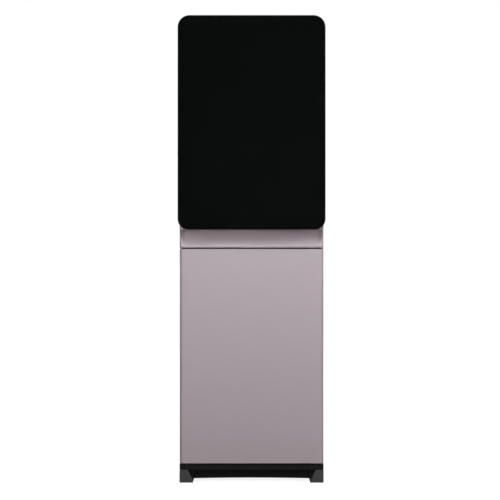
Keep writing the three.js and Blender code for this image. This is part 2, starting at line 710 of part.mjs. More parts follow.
function addPump() {
  const foot = block(pumpX - pumpFootSize / 2, pumpX + pumpFootSize / 2,
    pumpY - pumpFootSize / 2, pumpY + pumpFootSize / 2, pumpZ0, pumpZ0 + pumpFootThickness);
  const rooted = pumpZ0 + pumpFootThickness / 2;
  const headZ1 = pumpZ1 + pumpHeadHeight;
  const can = turned([[0, rooted], [pumpRadius, rooted], [pumpRadius, pumpZ1], [pumpHeadRadius, pumpZ1],
    [pumpHeadRadius, headZ1 - pumpRounding], [pumpHeadRadius - pumpRounding, headZ1], [0, headZ1]],
    pumpX, pumpY, 20);
  const outlet = rod(pipeRadius, [pumpX, pumpY, pumpStubZ], [pumpX, pumpY + pumpReach, pumpStubZ]);
  const inlet = rod(pipeRadius, [pumpX, pumpY, pumpStubZ], [pumpX - pumpReach, pumpY, pumpStubZ]);
  addPiece('water_pump', join(foot, can, outlet, inlet), blackPlastic);
}

function addPipes() {
  const start = stemY1 + seatGap;
  const coldRunY = pipeRunY - coldRunAhead;
  addPiece('cold_pipe', tube([
    [coldX, start, tapZ], [coldX, coldRunY, tapZ], [coldX, coldRunY, coldStubZ],
    [coldX, coldStubY - seatGap, coldStubZ]], pipeRadius, pipeBend), tubing);
  addPiece('hot_pipe', tube([
    [tapPitch, start, tapZ], [tapPitch, pipeRunY, tapZ], [tapPitch, pipeRunY, hotStubZ + hotPipeAbove],
    [hotX, tankY, hotStubZ + hotPipeAbove], [hotX, tankY, hotStubZ + seatGap]],
  pipeRadius, pipeBend), tubing);
  addPiece('room_pipe', tube([
    [0, start, tapZ], [0, pipeRunY, tapZ], [0, pipeRunY, pumpStubZ],
    [pumpX, pumpY + pumpReach + seatGap, pumpStubZ]], pipeRadius, pipeBend), tubing);
  addPiece('suction_hose', tube([
    [pumpX - pumpReach - seatGap, pumpY, pumpStubZ], [probeX, pumpY, pumpStubZ],
    [probeX, probeY, pumpStubZ], [probeX, probeY, probeTop + seatGap]], probeRadius, 2 * pipeBend), tubing);
}

// Compressor and its plumbing
const compressorX = -50;
const compressorRadius = 58;
const compressorSquash = 0.86;  // oval can, shallower than wide
const canSeam = 3;              // welded rim round the can
// The can's outline: shares of its radius and height, and where its seam stands out.
const canShape = [[0, 0, 0], [0.8, 0, 0], [0.95, 0.08, 0], [1, 0.2, 0], [1, 0.45, 0], [1, 0.46, 1],
  [1, 0.49, 1], [1, 0.5, 0], [1, 0.75, 0], [0.9, 0.9, 0], [0.65, 0.98, 0], [0, 1, 0]];
const legRadius = 9;
const legSpacingX = 120;
const legSpacingY = 84;
const dischargeZ = 68;          // above the mid shelf
const lineInset = 12;           // tube's run inside the rear panel
const lineLead = 12;            // compressor's stub in front of that run
const lineStub = 8.3;           // stub outside the can
const refrigerantRadius = 2.5;
const drierRadius = 9.5;
const drierLength = 80;
const drierEnd = 3;             // radius of its drawn-in ends
const drierNeck = 8;
const drierBelowEntry = 20;

const outletZ = shelfZ1 + dischargeZ;
const lineY = rearY0 - lineInset;
const dischargeY = lineY - lineLead;
const outletY = rearY0 - bayRearGap;
const compressorY = dischargeY - lineStub - compressorRadius * compressorSquash;

function addCompressor() {
  const legs = [];
  for (const sx of [-0.5, 0.5]) {
    for (const sy of [-0.5, 0.5]) {
      const at = [compressorX + sx * legSpacingX, compressorY + sy * legSpacingY];
      legs.push(rod(legRadius, [...at, legZ0], [...at, legZ0 + legHeight + legPlate / 2], 12));
    }
  }
  const reachX = legSpacingX / 2 + legRadius;
  const reachY = legSpacingY / 2 + legRadius;
  const plan = roundedShape(compressorX - reachX, compressorX + reachX,
    compressorY - reachY, compressorY + reachY, legRadius);
  const plate = upright(plan, legZ0 + legHeight, legZ0 + legHeight + legPlate, 4);
  addPiece('compressor_base', join(plate, ...legs), steelSheet);
  const profile = canShape.map(
    ([r, h, seam]) => [r * compressorRadius + seam * canSeam, h * compressorHeight]);
  const can = turned(profile, 0, 0, 28);
  can.scale(1, compressorSquash, 1).translate(compressorX, compressorY, compressorZ0);
  const discharge = rod(refrigerantRadius,
    [compressorX, compressorY, outletZ], [compressorX, dischargeY, outletZ], 8);
  addPiece('compressor', join(can, discharge), enamelBlack);
}

// Condenser: one tube folded back and forth between two rows of wires
const condenserInset = 10;      // tube's axis in front of the rearmost face
const condenserSideGap = 24.2;  // its outer lines from the inside of the side panels
const passInset = 20;           // ends of the passes from those lines
const passPitch = 41;
const passCount = 10;
const passBend = 8;
const wirePitch = 12;
const wireMargin = 9;           // least distance of the wires from the ends of the passes
const wireSize = 1.8;
const wireEnd = 14;             // wires beyond the first and last pass
const returnAbove = 105;        // where the tube goes back in, above the first pass
const bracketPast = 5;          // bracket beyond the outer lines
const bracketLeg = 9;

const condenserY = overallDepth / 2 - condenserInset;
const condenserReturnX = innerX - condenserSideGap;
const condenserHalf = condenserReturnX - passInset;
const wireCount = Math.floor(2 * (condenserHalf - wireMargin) / wirePitch) + 1;
const firstPassZ = outletZ;
const lastPassZ = firstPassZ + passCount * passPitch;
const entryZ = firstPassZ + returnAbove;
const wireZ0 = firstPassZ - wireEnd;
const wireZ1 = lastPassZ + wireEnd;

function addCondenser() {
  const corners = [[compressorX, dischargeY + seatGap, outletZ], [compressorX, lineY, outletZ],
    [-condenserReturnX, lineY, outletZ], [-condenserReturnX, condenserY, outletZ]];
  for (let i = 0; i <= passCount; i += 1) {
    const z = firstPassZ + i * passPitch;
    const end = i % 2 === 0 ? condenserHalf : -condenserHalf;
    if (i > 0) corners.push([-end, condenserY, z]);
    if (i < passCount) corners.push([end, condenserY, z]);
  }
  const drierY = outletY - drierRadius;
  const drierTop = entryZ - drierBelowEntry;
  const drierBottom = drierTop - drierLength;
  corners.push([condenserReturnX, condenserY, lastPassZ], [condenserReturnX, condenserY, entryZ],
    [condenserReturnX, drierY, entryZ], [condenserReturnX, drierY, drierTop + seatGap]);
  addPiece('condenser_tube', tube(corners, refrigerantRadius, passBend, 6, 3), enamelBlack);
  addPiece('filter_drier', turned([
    [0, drierBottom], [drierEnd, drierBottom], [drierEnd, drierBottom + drierNeck],
    [drierRadius, drierBottom + 2 * drierNeck], [drierRadius, drierTop - 2 * drierNeck],
    [drierEnd, drierTop - drierNeck], [drierEnd, drierTop], [0, drierTop]],
    condenserReturnX, drierY, 14), copper);
}

function addWires() {
  const tubeSide = refrigerantRadius + seatGap;
  const rows = [condenserY - tubeSide - wireSize, condenserY + tubeSide];
  const bars = [];
  for (const y of rows) {
    for (let i = 0; i < wireCount; i += 1) {
      const x = (i - (wireCount - 1) / 2) * wirePitch;
      bars.push(block(x - wireSize / 2, x + wireSize / 2, y, y + wireSize, wireZ0, wireZ1));
    }
  }
  const half = (wireCount - 1) / 2 * wirePitch + wireSize;
  for (const z of [wireZ0, wireZ1 - wireSize]) {
    bars.push(block(-half, half, rows[0], rows[1] + wireSize, z, z + wireSize));
  }
  addPiece('condenser_wires', join(...bars), enamelBlack);
}

// A channel across the back that holds an end of the condenser.
function addCondenserBracket(name, seatZ, side) {
  const rearmost = overallDepth / 2;
  const edge = seatZ + side * (seatGap + sheet);
  const tip = seatZ - side * bracketLeg;
  const web = seatZ + side * seatGap;
  const channel = outline([[behindY, edge], [rearmost, edge], [rearmost, tip], [rearmost - sheet, tip],
    [rearmost - sheet, web], [behindY + sheet, web], [behindY + sheet, tip], [behindY, tip]]);
  const half = condenserReturnX + bracketPast;
  addPiece(name, sideSweep(channel, -half, half), steelSheet);
}

// Rear panel and what sits in it
const glandX = -120;
const glandZ = 80;
const glandBore = 4.5;
const glandBody = 8;
const glandFlange = 13;
const glandProud = 7;
const glandInside = 2;          // inside the rear panel
const portFlange = 3;           // thickness of the gland's and the outlet's flanges
const drainX = 60;
const drainAbove = 12;          // axis above the mid shelf
const drainRadius = 8;
const drainBore = 5;
const drainFlange = 13;
const drainLength = 13;         // outside the rear panel
const capRadius = 12;
const capTop = 6;               // solid end of the cap
const switchX = -80;
const switchBelow = 38.5;       // switches under the mid shelf
const switchPlateWidth = 64;
const switchPlateHeight = 40;
const switchPlateDepth = 2.5;
const switchPlateRadius = 3;
const rockerWidth = 18;
const rockerHalf = 11.8;
const rockerBack = 7;           // behind its pivot
const rockerFace = 5;           // in front of it, at the ends
const rockerDip = 1.6;          // hollow of its face
const rockerTaper = 3;
const rockerPitch = 26;
const rockerRoom = 1.3;         // above and below each rocker, for its tilt
const rockerTilt = 8;           // degrees, either way
const windowRoom = 1;           // rear panel clear of the rockers
const lineHoleGap = 2;          // round the refrigerant tube
const ventCount = 7;
const ventX = 60;               // middle of the two columns
const ventGap = 20;
const ventWidth = 50;
const ventHeight = 5;
const ventPitch = 12;
const ventZ0 = 470;

const switchZ = shelfZ0 - switchBelow;
const rockerZHalf = rockerHalf + rockerRoom;
const rockerX = (side) => switchX + side * rockerPitch / 2;
const rockerPivotY = rearY1;
const drainZ = shelfZ1 + drainAbove;

function addRearPanel() {
  const panel = block(-halfBody, halfBody, rearY0, rearY1, baseTop + seatGap, shellZ1);
  const [y0, y1] = [rearY0 - past, rearY1 + past];
  const through = (radius, x, z) => rod(radius, [x, y0, z], [x, y1, z], 16);
  const cutters = [
    through(glandBody + seatGap, glandX, glandZ),
    through(drainRadius + seatGap, drainX, drainZ),
    through(refrigerantRadius + lineHoleGap, -condenserReturnX, outletZ),
    through(refrigerantRadius + lineHoleGap, condenserReturnX, entryZ),
    block(rockerX(-1) - rockerWidth / 2 - windowRoom, rockerX(1) + rockerWidth / 2 + windowRoom, y0, y1,
      switchZ - rockerZHalf - windowRoom, switchZ + rockerZHalf + windowRoom),
  ];
  for (const side of [-1, 1]) {
    for (let i = 0; i < ventCount; i += 1) {
      const x = ventX + side * (ventWidth + ventGap) / 2;
      const z = ventZ0 - i * ventPitch;
      cutters.push(block(x - ventWidth / 2, x + ventWidth / 2, y0, y1, z, z + ventHeight));
    }
  }
  addPiece('rear_panel', cut(panel, ...cutters), steelSheet);
}

function addSwitches() {
  const face = roundedShape(switchX - switchPlateWidth / 2, switchX + switchPlateWidth / 2,
    switchZ - switchPlateHeight / 2, switchZ + switchPlateHeight / 2, switchPlateRadius);
  const plate = frontPlate(face, behindY, behindY + switchPlateDepth, 3);
  const windows = [-1, 1].map((side) => block(
    rockerX(side) - rockerWidth / 2 - seatGap, rockerX(side) + rockerWidth / 2 + seatGap,
    behindY - past, behindY + switchPlateDepth + past, switchZ - rockerZHalf, switchZ + rockerZHalf));
  addPiece('switch_plate', cut(plate, ...windows), blackPlastic);
  const profile = outline([[-rockerBack, -rockerHalf + rockerTaper], [rockerFace, -rockerHalf],
    [rockerFace - rockerDip, 0], [rockerFace, rockerHalf], [-rockerBack, rockerHalf - rockerTaper]]);
  const tilt = THREE.MathUtils.degToRad(rockerTilt);
  for (const [name, side, colour] of [['cold_switch', -1, bluePlastic], ['hot_switch', 1, redPlastic]]) {
    const shape = sideSweep(profile, -rockerWidth / 2, rockerWidth / 2).rotateX(-tilt);
    const rocker = addPiece(name, shape, colour);
    rocker.position.set(rockerX(side), rockerPivotY, switchZ);
  }
}

function addGland() {
  const at = (y) => [glandX, y, glandZ];
  const neck = rod(glandBody, at(rearY0 - glandInside), at(behindY + glandProud), 16);
  const flange = rod(glandFlange, at(behindY), at(behindY + portFlange), 20);
  const bore = rod(glandBore, at(rearY0 - glandInside - past), at(behindY + glandProud + past), 12);
  addPiece('cord_gland', cut(join(neck, flange), bore), blackPlastic);
}

function addDrain() {
  const at = (y) => [drainX, y, drainZ];
  const end = behindY + drainLength;
  const pipe = rod(drainRadius, at(outletY + past), at(end), 16);
  const flange = rod(drainFlange, at(behindY), at(behindY + portFlange), 20);
  const bore = rod(drainBore, at(outletY), at(end + past), 12);
  addPiece('drain_outlet', cut(join(pipe, flange), bore), blackPlastic);
  const capY0 = behindY + portFlange + seatGap;
  const shell = rod(capRadius, at(capY0), at(end + seatGap + capTop), 20);
  const socket = rod(drainRadius + seatGap, at(capY0 - past), at(end + seatGap), 16);
  addPiece('drain_cap', cut(shell, socket), whitePlastic);
}

// Control box on the mid shelf
const controlWidth = 90;
const controlDepth = 70;
const controlHeight = 56;
const controlRadius = 4;
const controlX = 75;
const controlY = 30;

function addControlBox() {
  const z0 = shelfZ1 + seatGap;
  const plan = roundedShape(controlX - controlWidth / 2, controlX + controlWidth / 2,
    controlY - controlDepth / 2, controlY + controlDepth / 2, controlRadius);
  addPiece('control_box', upright(plan, z0, z0 + controlHeight, 3), palePlastic);
}

// Hinges
const pinRadius = 3;
const pinLength = 12;
const pinClearance = 0.35;
const pinRoot = 0.5;            // pins start this far inside their leaves
const leafWidth = 33;           // from the door's side edge inwards
const leafTail = 60;            // back into the cabinet
const leafSetback = 4;          // behind the front of the door
const leafInset = 1;            // inside the side of the body
const leafCorner = 4;           // cut off its front corner, behind the door's rounded edge
const lowerHingeInset = 7;      // axis from the side of the body
const lowerHingeDepth = 12;     // axis behind the front of the lower door
const upperHingeInset = 4.5;
const upperHingeDepth = 11;     // axis behind the front of the glass
const tongueThickness = 3;
const tongueHalf = 5;
const tongueTrim = 2;           // right side of a tongue at its flange
const tonguePinRadius = 2.5;
const notchGap = 0.8;           // above and below a tongue
const notchRoom = 1.5;          // beside it
const tongueFromEnd = 60;       // from the top or bottom edge of the glass
const flangePlate = 1.5;
const flangeLength = 40;

const lowerHingeX = halfBody - lowerHingeInset;
const lowerHingeY = frontY0 + lowerHingeDepth;
const upperHingeX = halfBody - upperHingeInset;
const upperHingeY = glassY0 + upperHingeDepth;
const tongueZ = [glassZ0 + tongueFromEnd, glassZ1 - tongueFromEnd];

function hingeLeaf(z0, pinUp) {
  const x0 = halfBody - leafWidth;
  const x1 = halfBody - leafInset;
  const tailX = halfBody - flangeWidth - seatGap;
  const front = frontY0 + leafSetback;
  const plan = outline([[x0, front], [x1 - leafCorner, front], [x1, front + leafCorner],
    [x1, cabinetY0 - seatGap], [tailX, cabinetY0 - seatGap], [tailX, cabinetY0 + leafTail],
    [x0, cabinetY0 + leafTail]]);
  const z1 = z0 + leafThickness;
  const pinEnds = pinUp ? [z0 + pinRoot, z1 + pinLength] : [z0 - pinLength, z1 - pinRoot];
  const pin = rod(pinRadius,
    [lowerHingeX, lowerHingeY, pinEnds[0]], [lowerHingeX, lowerHingeY, pinEnds[1]], 16);
  return join(upright(plan, z0, z1), pin);
}

function hingeTongue(z0) {
  const z1 = z0 + tongueThickness;
  const flangeY1 = fasciaY0 - seatGap;
  const plan = new THREE.Shape();
  plan.moveTo(upperHingeX - tongueHalf, flangeY1);
  plan.lineTo(upperHingeX - tongueHalf, upperHingeY);
  plan.absarc(upperHingeX, upperHingeY, tongueHalf, Math.PI, 2 * Math.PI);
  plan.lineTo(upperHingeX + tongueHalf - tongueTrim, flangeY1);
  const flange = block(upperHingeX - tongueHalf - tongueTrim, upperHingeX + tongueHalf - tongueTrim,
    flangeY1 - flangePlate, flangeY1, z0, z0 + flangeLength);
  const pin = rod(tonguePinRadius, [upperHingeX, upperHingeY, z0 + pinRoot],
    [upperHingeX, upperHingeY, z1 + pinLength], 16);
  return join(upright(plan, z0, z1, 8), flange, pin);
}

function addHinges() {
  addPiece('lower_hinge_bottom', hingeLeaf(lowLeafZ, true), steelSheet);
  addPiece('lower_hinge_top', hingeLeaf(highLeafZ, false), steelSheet);
  addPiece('upper_hinge_bottom', hingeTongue(tongueZ[0]), steelSheet);
  addPiece('upper_hinge_top', hingeTongue(tongueZ[1]), steelSheet);
}

// Upper door: glass pane on a moulded frame
const glassOverhang = 3.5;      // beyond each side of the body
const glassTopRadius = 28;
const glassLowRadius = 25;
const frameInset = 3;           // frame behind the edge of the glass
const frameRim = 16;

function glassOutline(inset) {
  const half = halfBody + glassOverhang - inset;
  const low = glassLowRadius - inset;
  const top = glassTopRadius - inset;
  return roundedShape(-half, half, glassZ0 + inset, glassZ1 - inset, [low, low, top, top]);
}

function addUpperDoor() {
  addPiece('glass_pane', frontPlate(glassOutline(0), glassY0, glassY1, 10), blackGlass, upperDoor);
  const body = frontPlate(glassOutline(frameInset), doorFrameY0, doorFrameY1, 8);
  const hollow = frontPlate(glassOutline(frameInset + frameRim), doorFrameY0 - past, doorFrameY1 - wall, 4);
  const cutters = [hollow];
  for (const z of tongueZ) {
    const z1 = z + tongueThickness + notchGap;
    cutters.push(
      block(upperHingeX - tongueHalf - notchRoom, halfBody + glassOverhang,
        doorFrameY0 - past, doorFrameY1 + past, z - notchGap, z1),
      rod(tonguePinRadius + pinClearance, [upperHingeX, upperHingeY, z],
        [upperHingeX, upperHingeY, z1 + pinLength + past], 16));
  }
  addPiece('upper_door_frame', cut(body, ...cutters), blackPlastic, upperDoor);
}

// Lower door: a champagne skin over an inner panel
const doorEdgeRadius = 10;
const doorSkin = 2.5;
const innerPanel = 2.5;
const innerInset = 3;
const innerRadius = 4;
const bossSize = 20;
const gripLength = 90;
const gripDepth = 12;
const gripBelow = 40;           // under the top of the door
const gripWidth = 11;

function addLowerDoor() {
  const panelY1 = lowerDoorY1 - innerPanel - seatGap;
  const plan = roundedShape(-halfBody, halfBody, frontY0, panelY1, [doorEdgeRadius, doorEdgeRadius, 0, 0]);
  const body = upright(plan, lowerDoorZ0, lowerDoorZ1, 6);
  const x = halfBody - doorSkin;
  const roomRadius = doorEdgeRadius - doorSkin;
  const roomPlan = roundedShape(-x, x, frontY0 + doorSkin, panelY1 + past, [roomRadius, roomRadius, 0, 0]);
  const room = upright(roomPlan, lowerDoorZ0 + doorSkin, lowerDoorZ1 - doorSkin, 4);
  const keptY1 = panelY1 + 2 * past;
  const gripZ1 = lowerDoorZ1 - gripBelow;
  const gripZ0 = gripZ1 - gripLength;
  const kept = [
    block(x - bossSize, x + past, frontY0, keptY1, lowerDoorZ0, lowerDoorZ0 + bossSize),
    block(x - bossSize, x + past, frontY0, keptY1, lowerDoorZ1 - bossSize, lowerDoorZ1),
    block(-x - past, -x + gripDepth + doorSkin, frontY0, keptY1, gripZ0 - doorSkin, gripZ1 + doorSkin),
  ];
  const hole = (z0, z1) => rod(pinRadius + pinClearance, [lowerHingeX, lowerHingeY, z0],
    [lowerHingeX, lowerHingeY, z1], 16);
  const grip = block(-halfBody - past, -x + gripDepth, panelY1 - gripWidth, panelY1 + past, gripZ0, gripZ1);
  const panel = cut(body, cut(room, ...kept), grip,
    hole(lowerDoorZ0 - past, lowerDoorZ0 + pinLength), hole(lowerDoorZ1 - pinLength, lowerDoorZ1 + past));
  addPiece('lower_door_panel', panel, champagne, lowerDoor);
  const face = roundedShape(-halfBody + innerInset, halfBody - innerInset,
    lowerDoorZ0 + innerInset, lowerDoorZ1 - innerInset, innerRadius);
  const inner = frontPlate(face, lowerDoorY1 - innerPanel, lowerDoorY1, 3);
  addPiece('lower_door_inner', inner, palePlastic, lowerDoor);
}

addBase();
addFeet();
addSidePanel('left_side_panel', -1);
addSidePanel('right_side_panel', 1);
addRearPanel();
addTopCover();
addNeck();
addFascia();
addAlcove();
addTaps();
addDripTray();
addBottleBay();
addProbe();
addShelves();
addTanks();
addPump();
addPipes();
addCompressor();
addCondenser();
addWires();
addCondenserBracket('condenser_bracket_top', wireZ1, 1);
addCondenserBracket('condenser_bracket_bottom', wireZ0, -1);
addSwitches();
addGland();
addDrain();
addControlBox();
addHinges();
addUpperDoor();
addLowerDoor();

export default cooler;
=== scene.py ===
# Bottom load water cooler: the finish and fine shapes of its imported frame, in a plain studio.
# Metres, front towards -Y, floor at z = 0. Sizes in the dictionaries are millimetres unless noted.
import math

import bmesh
import bpy
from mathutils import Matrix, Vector


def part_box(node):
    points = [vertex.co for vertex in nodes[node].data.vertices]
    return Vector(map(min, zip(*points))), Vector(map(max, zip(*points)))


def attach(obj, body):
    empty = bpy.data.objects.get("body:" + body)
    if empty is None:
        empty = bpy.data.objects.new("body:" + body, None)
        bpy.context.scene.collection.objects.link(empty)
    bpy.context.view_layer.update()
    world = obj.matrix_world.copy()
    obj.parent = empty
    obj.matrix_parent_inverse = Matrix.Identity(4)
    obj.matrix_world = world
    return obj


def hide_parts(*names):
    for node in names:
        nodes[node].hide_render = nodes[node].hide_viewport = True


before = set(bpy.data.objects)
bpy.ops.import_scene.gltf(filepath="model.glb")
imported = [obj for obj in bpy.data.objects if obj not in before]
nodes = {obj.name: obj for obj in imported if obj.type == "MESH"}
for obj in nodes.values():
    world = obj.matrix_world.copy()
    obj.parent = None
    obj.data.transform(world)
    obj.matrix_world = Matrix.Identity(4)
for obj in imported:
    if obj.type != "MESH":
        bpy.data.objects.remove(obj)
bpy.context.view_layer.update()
mm = 0.001
print("frame loaded:", len(nodes), "nodes")


# Camera, floor, world and lamps: these dictionaries are in metres and watts.
cameraSetup = {
    "distance": 3.5,         # from the glass to the lens
    "height": 0.5489,
    "sideways": -0.0037,
    "viewWidth": 1.173,      # seen across the picture at the glass
    "sensor": 36.0,          # millimetres
    "clip": (0.05, 200),
}


def makeCamera(setup):
    data = bpy.data.cameras.new("camera")
    camera = bpy.data.objects.new("camera", data)
    bpy.context.scene.collection.objects.link(camera)
    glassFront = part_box("glass_pane")[0].y
    camera.location = (setup["sideways"], glassFront - setup["distance"], setup["height"])
    camera.rotation_euler = (math.radians(90), 0, 0)
    data.sensor_width = setup["sensor"]
    data.lens = setup["sensor"] * setup["distance"] / setup["viewWidth"]
    data.clip_start, data.clip_end = setup["clip"]
    bpy.context.scene.camera = camera


# A node with its settings and its uniform values given by name.
def addNode(tree, kind, **values):
    node = tree.nodes.new(kind)
    for key, value in values.items():
        if key in node.inputs:
            node.inputs[key].default_value = value
        else:
            setattr(node, key, value)
    return node


def startMaterial(name):
    material = bpy.data.materials.new(name)
    material.use_nodes = True
    tree = material.node_tree
    return material, tree, tree.nodes["Principled BSDF"]


def mathNode(tree, operation, *values):
    node = addNode(tree, "ShaderNodeMath", operation=operation)
    for socket, value in zip(node.inputs, values):
        if isinstance(value, (int, float)):
            socket.default_value = value
        else:
            tree.links.new(value, socket)
    return node.outputs[0]


# Carries a value from one range to another.
def rangeNode(tree, value, source, target, interpolation="LINEAR"):
    node = addNode(tree, "ShaderNodeMapRange", interpolation_type=interpolation)
    for name, limit in zip(("From Min", "From Max", "To Min", "To Max"), (*source, *target)):
        node.inputs[name].default_value = limit
    tree.links.new(value, node.inputs["Value"])
    return node.outputs[0]


def splitAxes(tree, vector):
    axes = tree.nodes.new("ShaderNodeSeparateXYZ")
    tree.links.new(vector, axes.inputs[0])
    return axes.outputs


# The rays that see directly, also through glass, and those that mirror.
def rayKinds(tree):
    rays = tree.nodes.new("ShaderNodeLightPath").outputs
    direct = mathNode(tree, "MAXIMUM", rays["Is Camera Ray"], rays["Is Transmission Ray"])
    return direct, rays["Is Glossy Ray"]


stageSetup = {
    "floorHalf": 60.0,
    "floorColor": (0.22, 0.22, 0.22, 1),
    "floorRoughness": 0.95,
    "floorNear": 0.87,       # glow beside the cooler, seen directly or through glass
    "floorFar": 1.0,
    "floorReach": (0.6, 3.0),
    "floorMirrored": 0.1,    # glow for what mirrors the floor
    "roomColor": (0.95, 0.96, 1.0, 1),
    "roomLight": 0.25,
    "mirrorFront": 0.02,     # dark room that mirrors show in front of the cooler
    "mirrorBack": 0.9,       # white backdrop behind it
    "mirrorTurn": (0.1, 0.7),
}


# White to the camera, darker to mirrors, and a plain grey that takes the shadow.
def makeFloor(setup):
    half = setup["floorHalf"]
    mesh = bpy.data.meshes.new("floor")
    corners = [(-half, -half, 0), (half, -half, 0), (half, half, 0), (-half, half, 0)]
    mesh.from_pydata(corners, [], [(0, 1, 2, 3)])
    floor = bpy.data.objects.new("floor", mesh)
    bpy.context.scene.collection.objects.link(floor)
    material, tree, shader = startMaterial("floorWhite")
    shader.inputs["Base Color"].default_value = setup["floorColor"]
    shader.inputs["Roughness"].default_value = setup["floorRoughness"]
    shader.inputs["Specular IOR Level"].default_value = 0.0
    direct, mirroring = rayKinds(tree)
    away = addNode(tree, "ShaderNodeVectorMath", operation="LENGTH")
    tree.links.new(tree.nodes.new("ShaderNodeTexCoord").outputs["Object"], away.inputs[0])
    glowLimits = (setup["floorNear"], setup["floorFar"])
    seen = rangeNode(tree, away.outputs["Value"], setup["floorReach"], glowLimits, "SMOOTHSTEP")
    directGlow = mathNode(tree, "MULTIPLY", direct, seen)
    mirrorGlow = mathNode(tree, "MULTIPLY", mirroring, setup["floorMirrored"])
    glow = addNode(tree, "ShaderNodeEmission", Color=(1, 1, 1, 1))
    tree.links.new(mathNode(tree, "MAXIMUM", directGlow, mirrorGlow), glow.inputs["Strength"])
    both = tree.nodes.new("ShaderNodeAddShader")
    tree.links.new(shader.outputs[0], both.inputs[0])
    tree.links.new(glow.outputs[0], both.inputs[1])
    tree.links.new(both.outputs[0], tree.nodes["Material Output"].inputs["Surface"])
    mesh.materials.append(material)


# Room light on the cooler, dark to bright for mirrors, and white to the camera.
def makeWorld(setup):
    world = bpy.data.worlds.new("studio")
    world.use_nodes = True
    bpy.context.scene.world = world
    tree = world.node_tree
    room = tree.nodes["Background"]
    room.inputs["Color"].default_value = setup["roomColor"]
    room.inputs["Strength"].default_value = setup["roomLight"]
    mirrored = addNode(tree, "ShaderNodeBackground", Color=(1, 1, 1, 1))
    white = addNode(tree, "ShaderNodeBackground", Color=(1, 1, 1, 1), Strength=1.0)
    axes = splitAxes(tree, tree.nodes.new("ShaderNodeTexCoord").outputs["Generated"])
    mirrorLimits = (setup["mirrorFront"], setup["mirrorBack"])
    turn = rangeNode(tree, axes["Y"], setup["mirrorTurn"], mirrorLimits, "SMOOTHSTEP")
    tree.links.new(turn, mirrored.inputs["Strength"])
    direct, mirroring = rayKinds(tree)
    last = room
    for factor, other in ((mirroring, mirrored), (direct, white)):
        mix = tree.nodes.new("ShaderNodeMixShader")
        tree.links.new(factor, mix.inputs[0])
        tree.links.new(last.outputs[0], mix.inputs[1])
        tree.links.new(other.outputs[0], mix.inputs[2])
        last = mix
    tree.links.new(last.outputs[0], tree.nodes["World Output"].inputs["Surface"])


# The key stands high and near, so the door darkens towards the floor. The front light is a broad wash
# that mirrors don't show, which keeps the glass black.
lampSetup = [
    {"name": "keyHigh", "at": (0.2, -1.3, 2.05), "aim": (0, -0.15, 0.75), "size": (1.6, 1.0), "power": 13.8},
    {"name": "frontWash", "at": (0, -3.3, 0.78), "aim": (0, 0, 0.78), "size": (2.0, 0.4), "power": 3.35,
     "spread": 32, "mirrored": False},
    {"name": "softRight", "at": (2.6, -1.3, 2.0), "aim": (0, 0, 0.5), "size": (1.0, 1.8), "power": 68},
    {"name": "softLeft", "at": (-2.1, -1.9, 2.0), "aim": (0, 0, 0.5), "size": (0.9, 1.7), "power": 34},
    {"name": "backLeft", "at": (-2.4, 2.2, 2.8), "aim": (0, 0, 0.6), "size": (2.0, 2.2), "power": 37},
    {"name": "backRight", "at": (2.0, 2.5, 2.9), "aim": (0, 0, 0.6), "size": (2.0, 2.2), "power": 40},
    {"name": "overhead", "at": (0.1, 0.5, 3.2), "aim": (0, 0, 0.6), "size": (2.0, 2.0), "power": 11},
]


def makeLamps(lamps):
    for lamp in lamps:
        data = bpy.data.lights.new(lamp["name"], "AREA")
        data.shape = "RECTANGLE"
        data.size, data.size_y = lamp["size"]
        data.energy = lamp["power"]
        data.spread = math.radians(lamp.get("spread", 180))
        light = bpy.data.objects.new(lamp["name"], data)
        bpy.context.scene.collection.objects.link(light)
        light.location = lamp["at"]
        way = Vector(lamp["aim"]) - Vector(lamp["at"])
        light.rotation_euler = way.to_track_quat("-Z", "Y").to_euler()
        light.visible_camera = False
        light.visible_glossy = lamp.get("mirrored", True)


makeCamera(cameraSetup)
bpy.context.scene.view_settings.view_transform = "Standard"
makeFloor(stageSetup)
makeWorld(stageSetup)
makeLamps(lampSetup)
print("stage set")


# Finishes. Texture scales are in waves per metre, bump depths and distances in metres. A grain is
# (scale, strength, depth).
def objectSpace(tree, stretch=(1, 1, 1)):
    place = tree.nodes.new("ShaderNodeTexCoord")
    spread = tree.nodes.new("ShaderNodeMapping")
    spread.inputs["Scale"].default_value = stretch
    tree.links.new(place.outputs["Object"], spread.inputs["Vector"])
    return spread.outputs[0]


def addBump(tree, shader, height, strength, depth):
    bump = addNode(tree, "ShaderNodeBump", Strength=strength, Distance=depth)
    tree.links.new(height, bump.inputs["Height"])
    tree.links.new(bump.outputs[0], shader.inputs["Normal"])


def addNoise(tree, space, scale, detail=3.0):
    noise = addNode(tree, "ShaderNodeTexNoise", Scale=scale, Detail=detail)
    tree.links.new(space, noise.inputs["Vector"])
    return noise.outputs["Fac"]


# A value that wanders between two limits.
def wander(tree, socket, factor, low, high, spread=(0.35, 0.65)):
    tree.links.new(rangeNode(tree, factor, spread, (low, high)), socket)


def tone(color, factor):
    return (*(min(1.0, c * factor) for c in color), 1)


# Two close tones of one colour.
def tint(tree, socket, factor, color, spread, stops=(0.35, 0.65)):
    ramp = tree.nodes.new("ShaderNodeValToRGB")
    for element, stop, side in zip(ramp.color_ramp.elements, stops, (-1, 1)):
        element.position = stop
        element.color = tone(color, 1 + side * spread)
    tree.links.new(factor, ramp.inputs["Fac"])
    tree.links.new(ramp.outputs["Color"], socket)


# Scales the colour that a socket has so far.
def scaleTone(tree, socket, factor):
    plain = socket.links[0].from_socket
    scaled = addNode(tree, "ShaderNodeVectorMath", operation="SCALE")
    tree.links.new(plain, scaled.inputs[0])
    tree.links.new(factor, scaled.inputs["Scale"])
    tree.links.new(scaled.outputs[0], socket)


# Painted shade: darkens beyond a distance to either side of the middle, where a side turns away from the
# light.
def sideShadeTone(tree, space, shadeBand):
    aside = mathNode(tree, "ABSOLUTE", splitAxes(tree, space)["X"])
    return rangeNode(tree, aside, shadeBand["edge"], (1.0, shadeBand["tone"]))
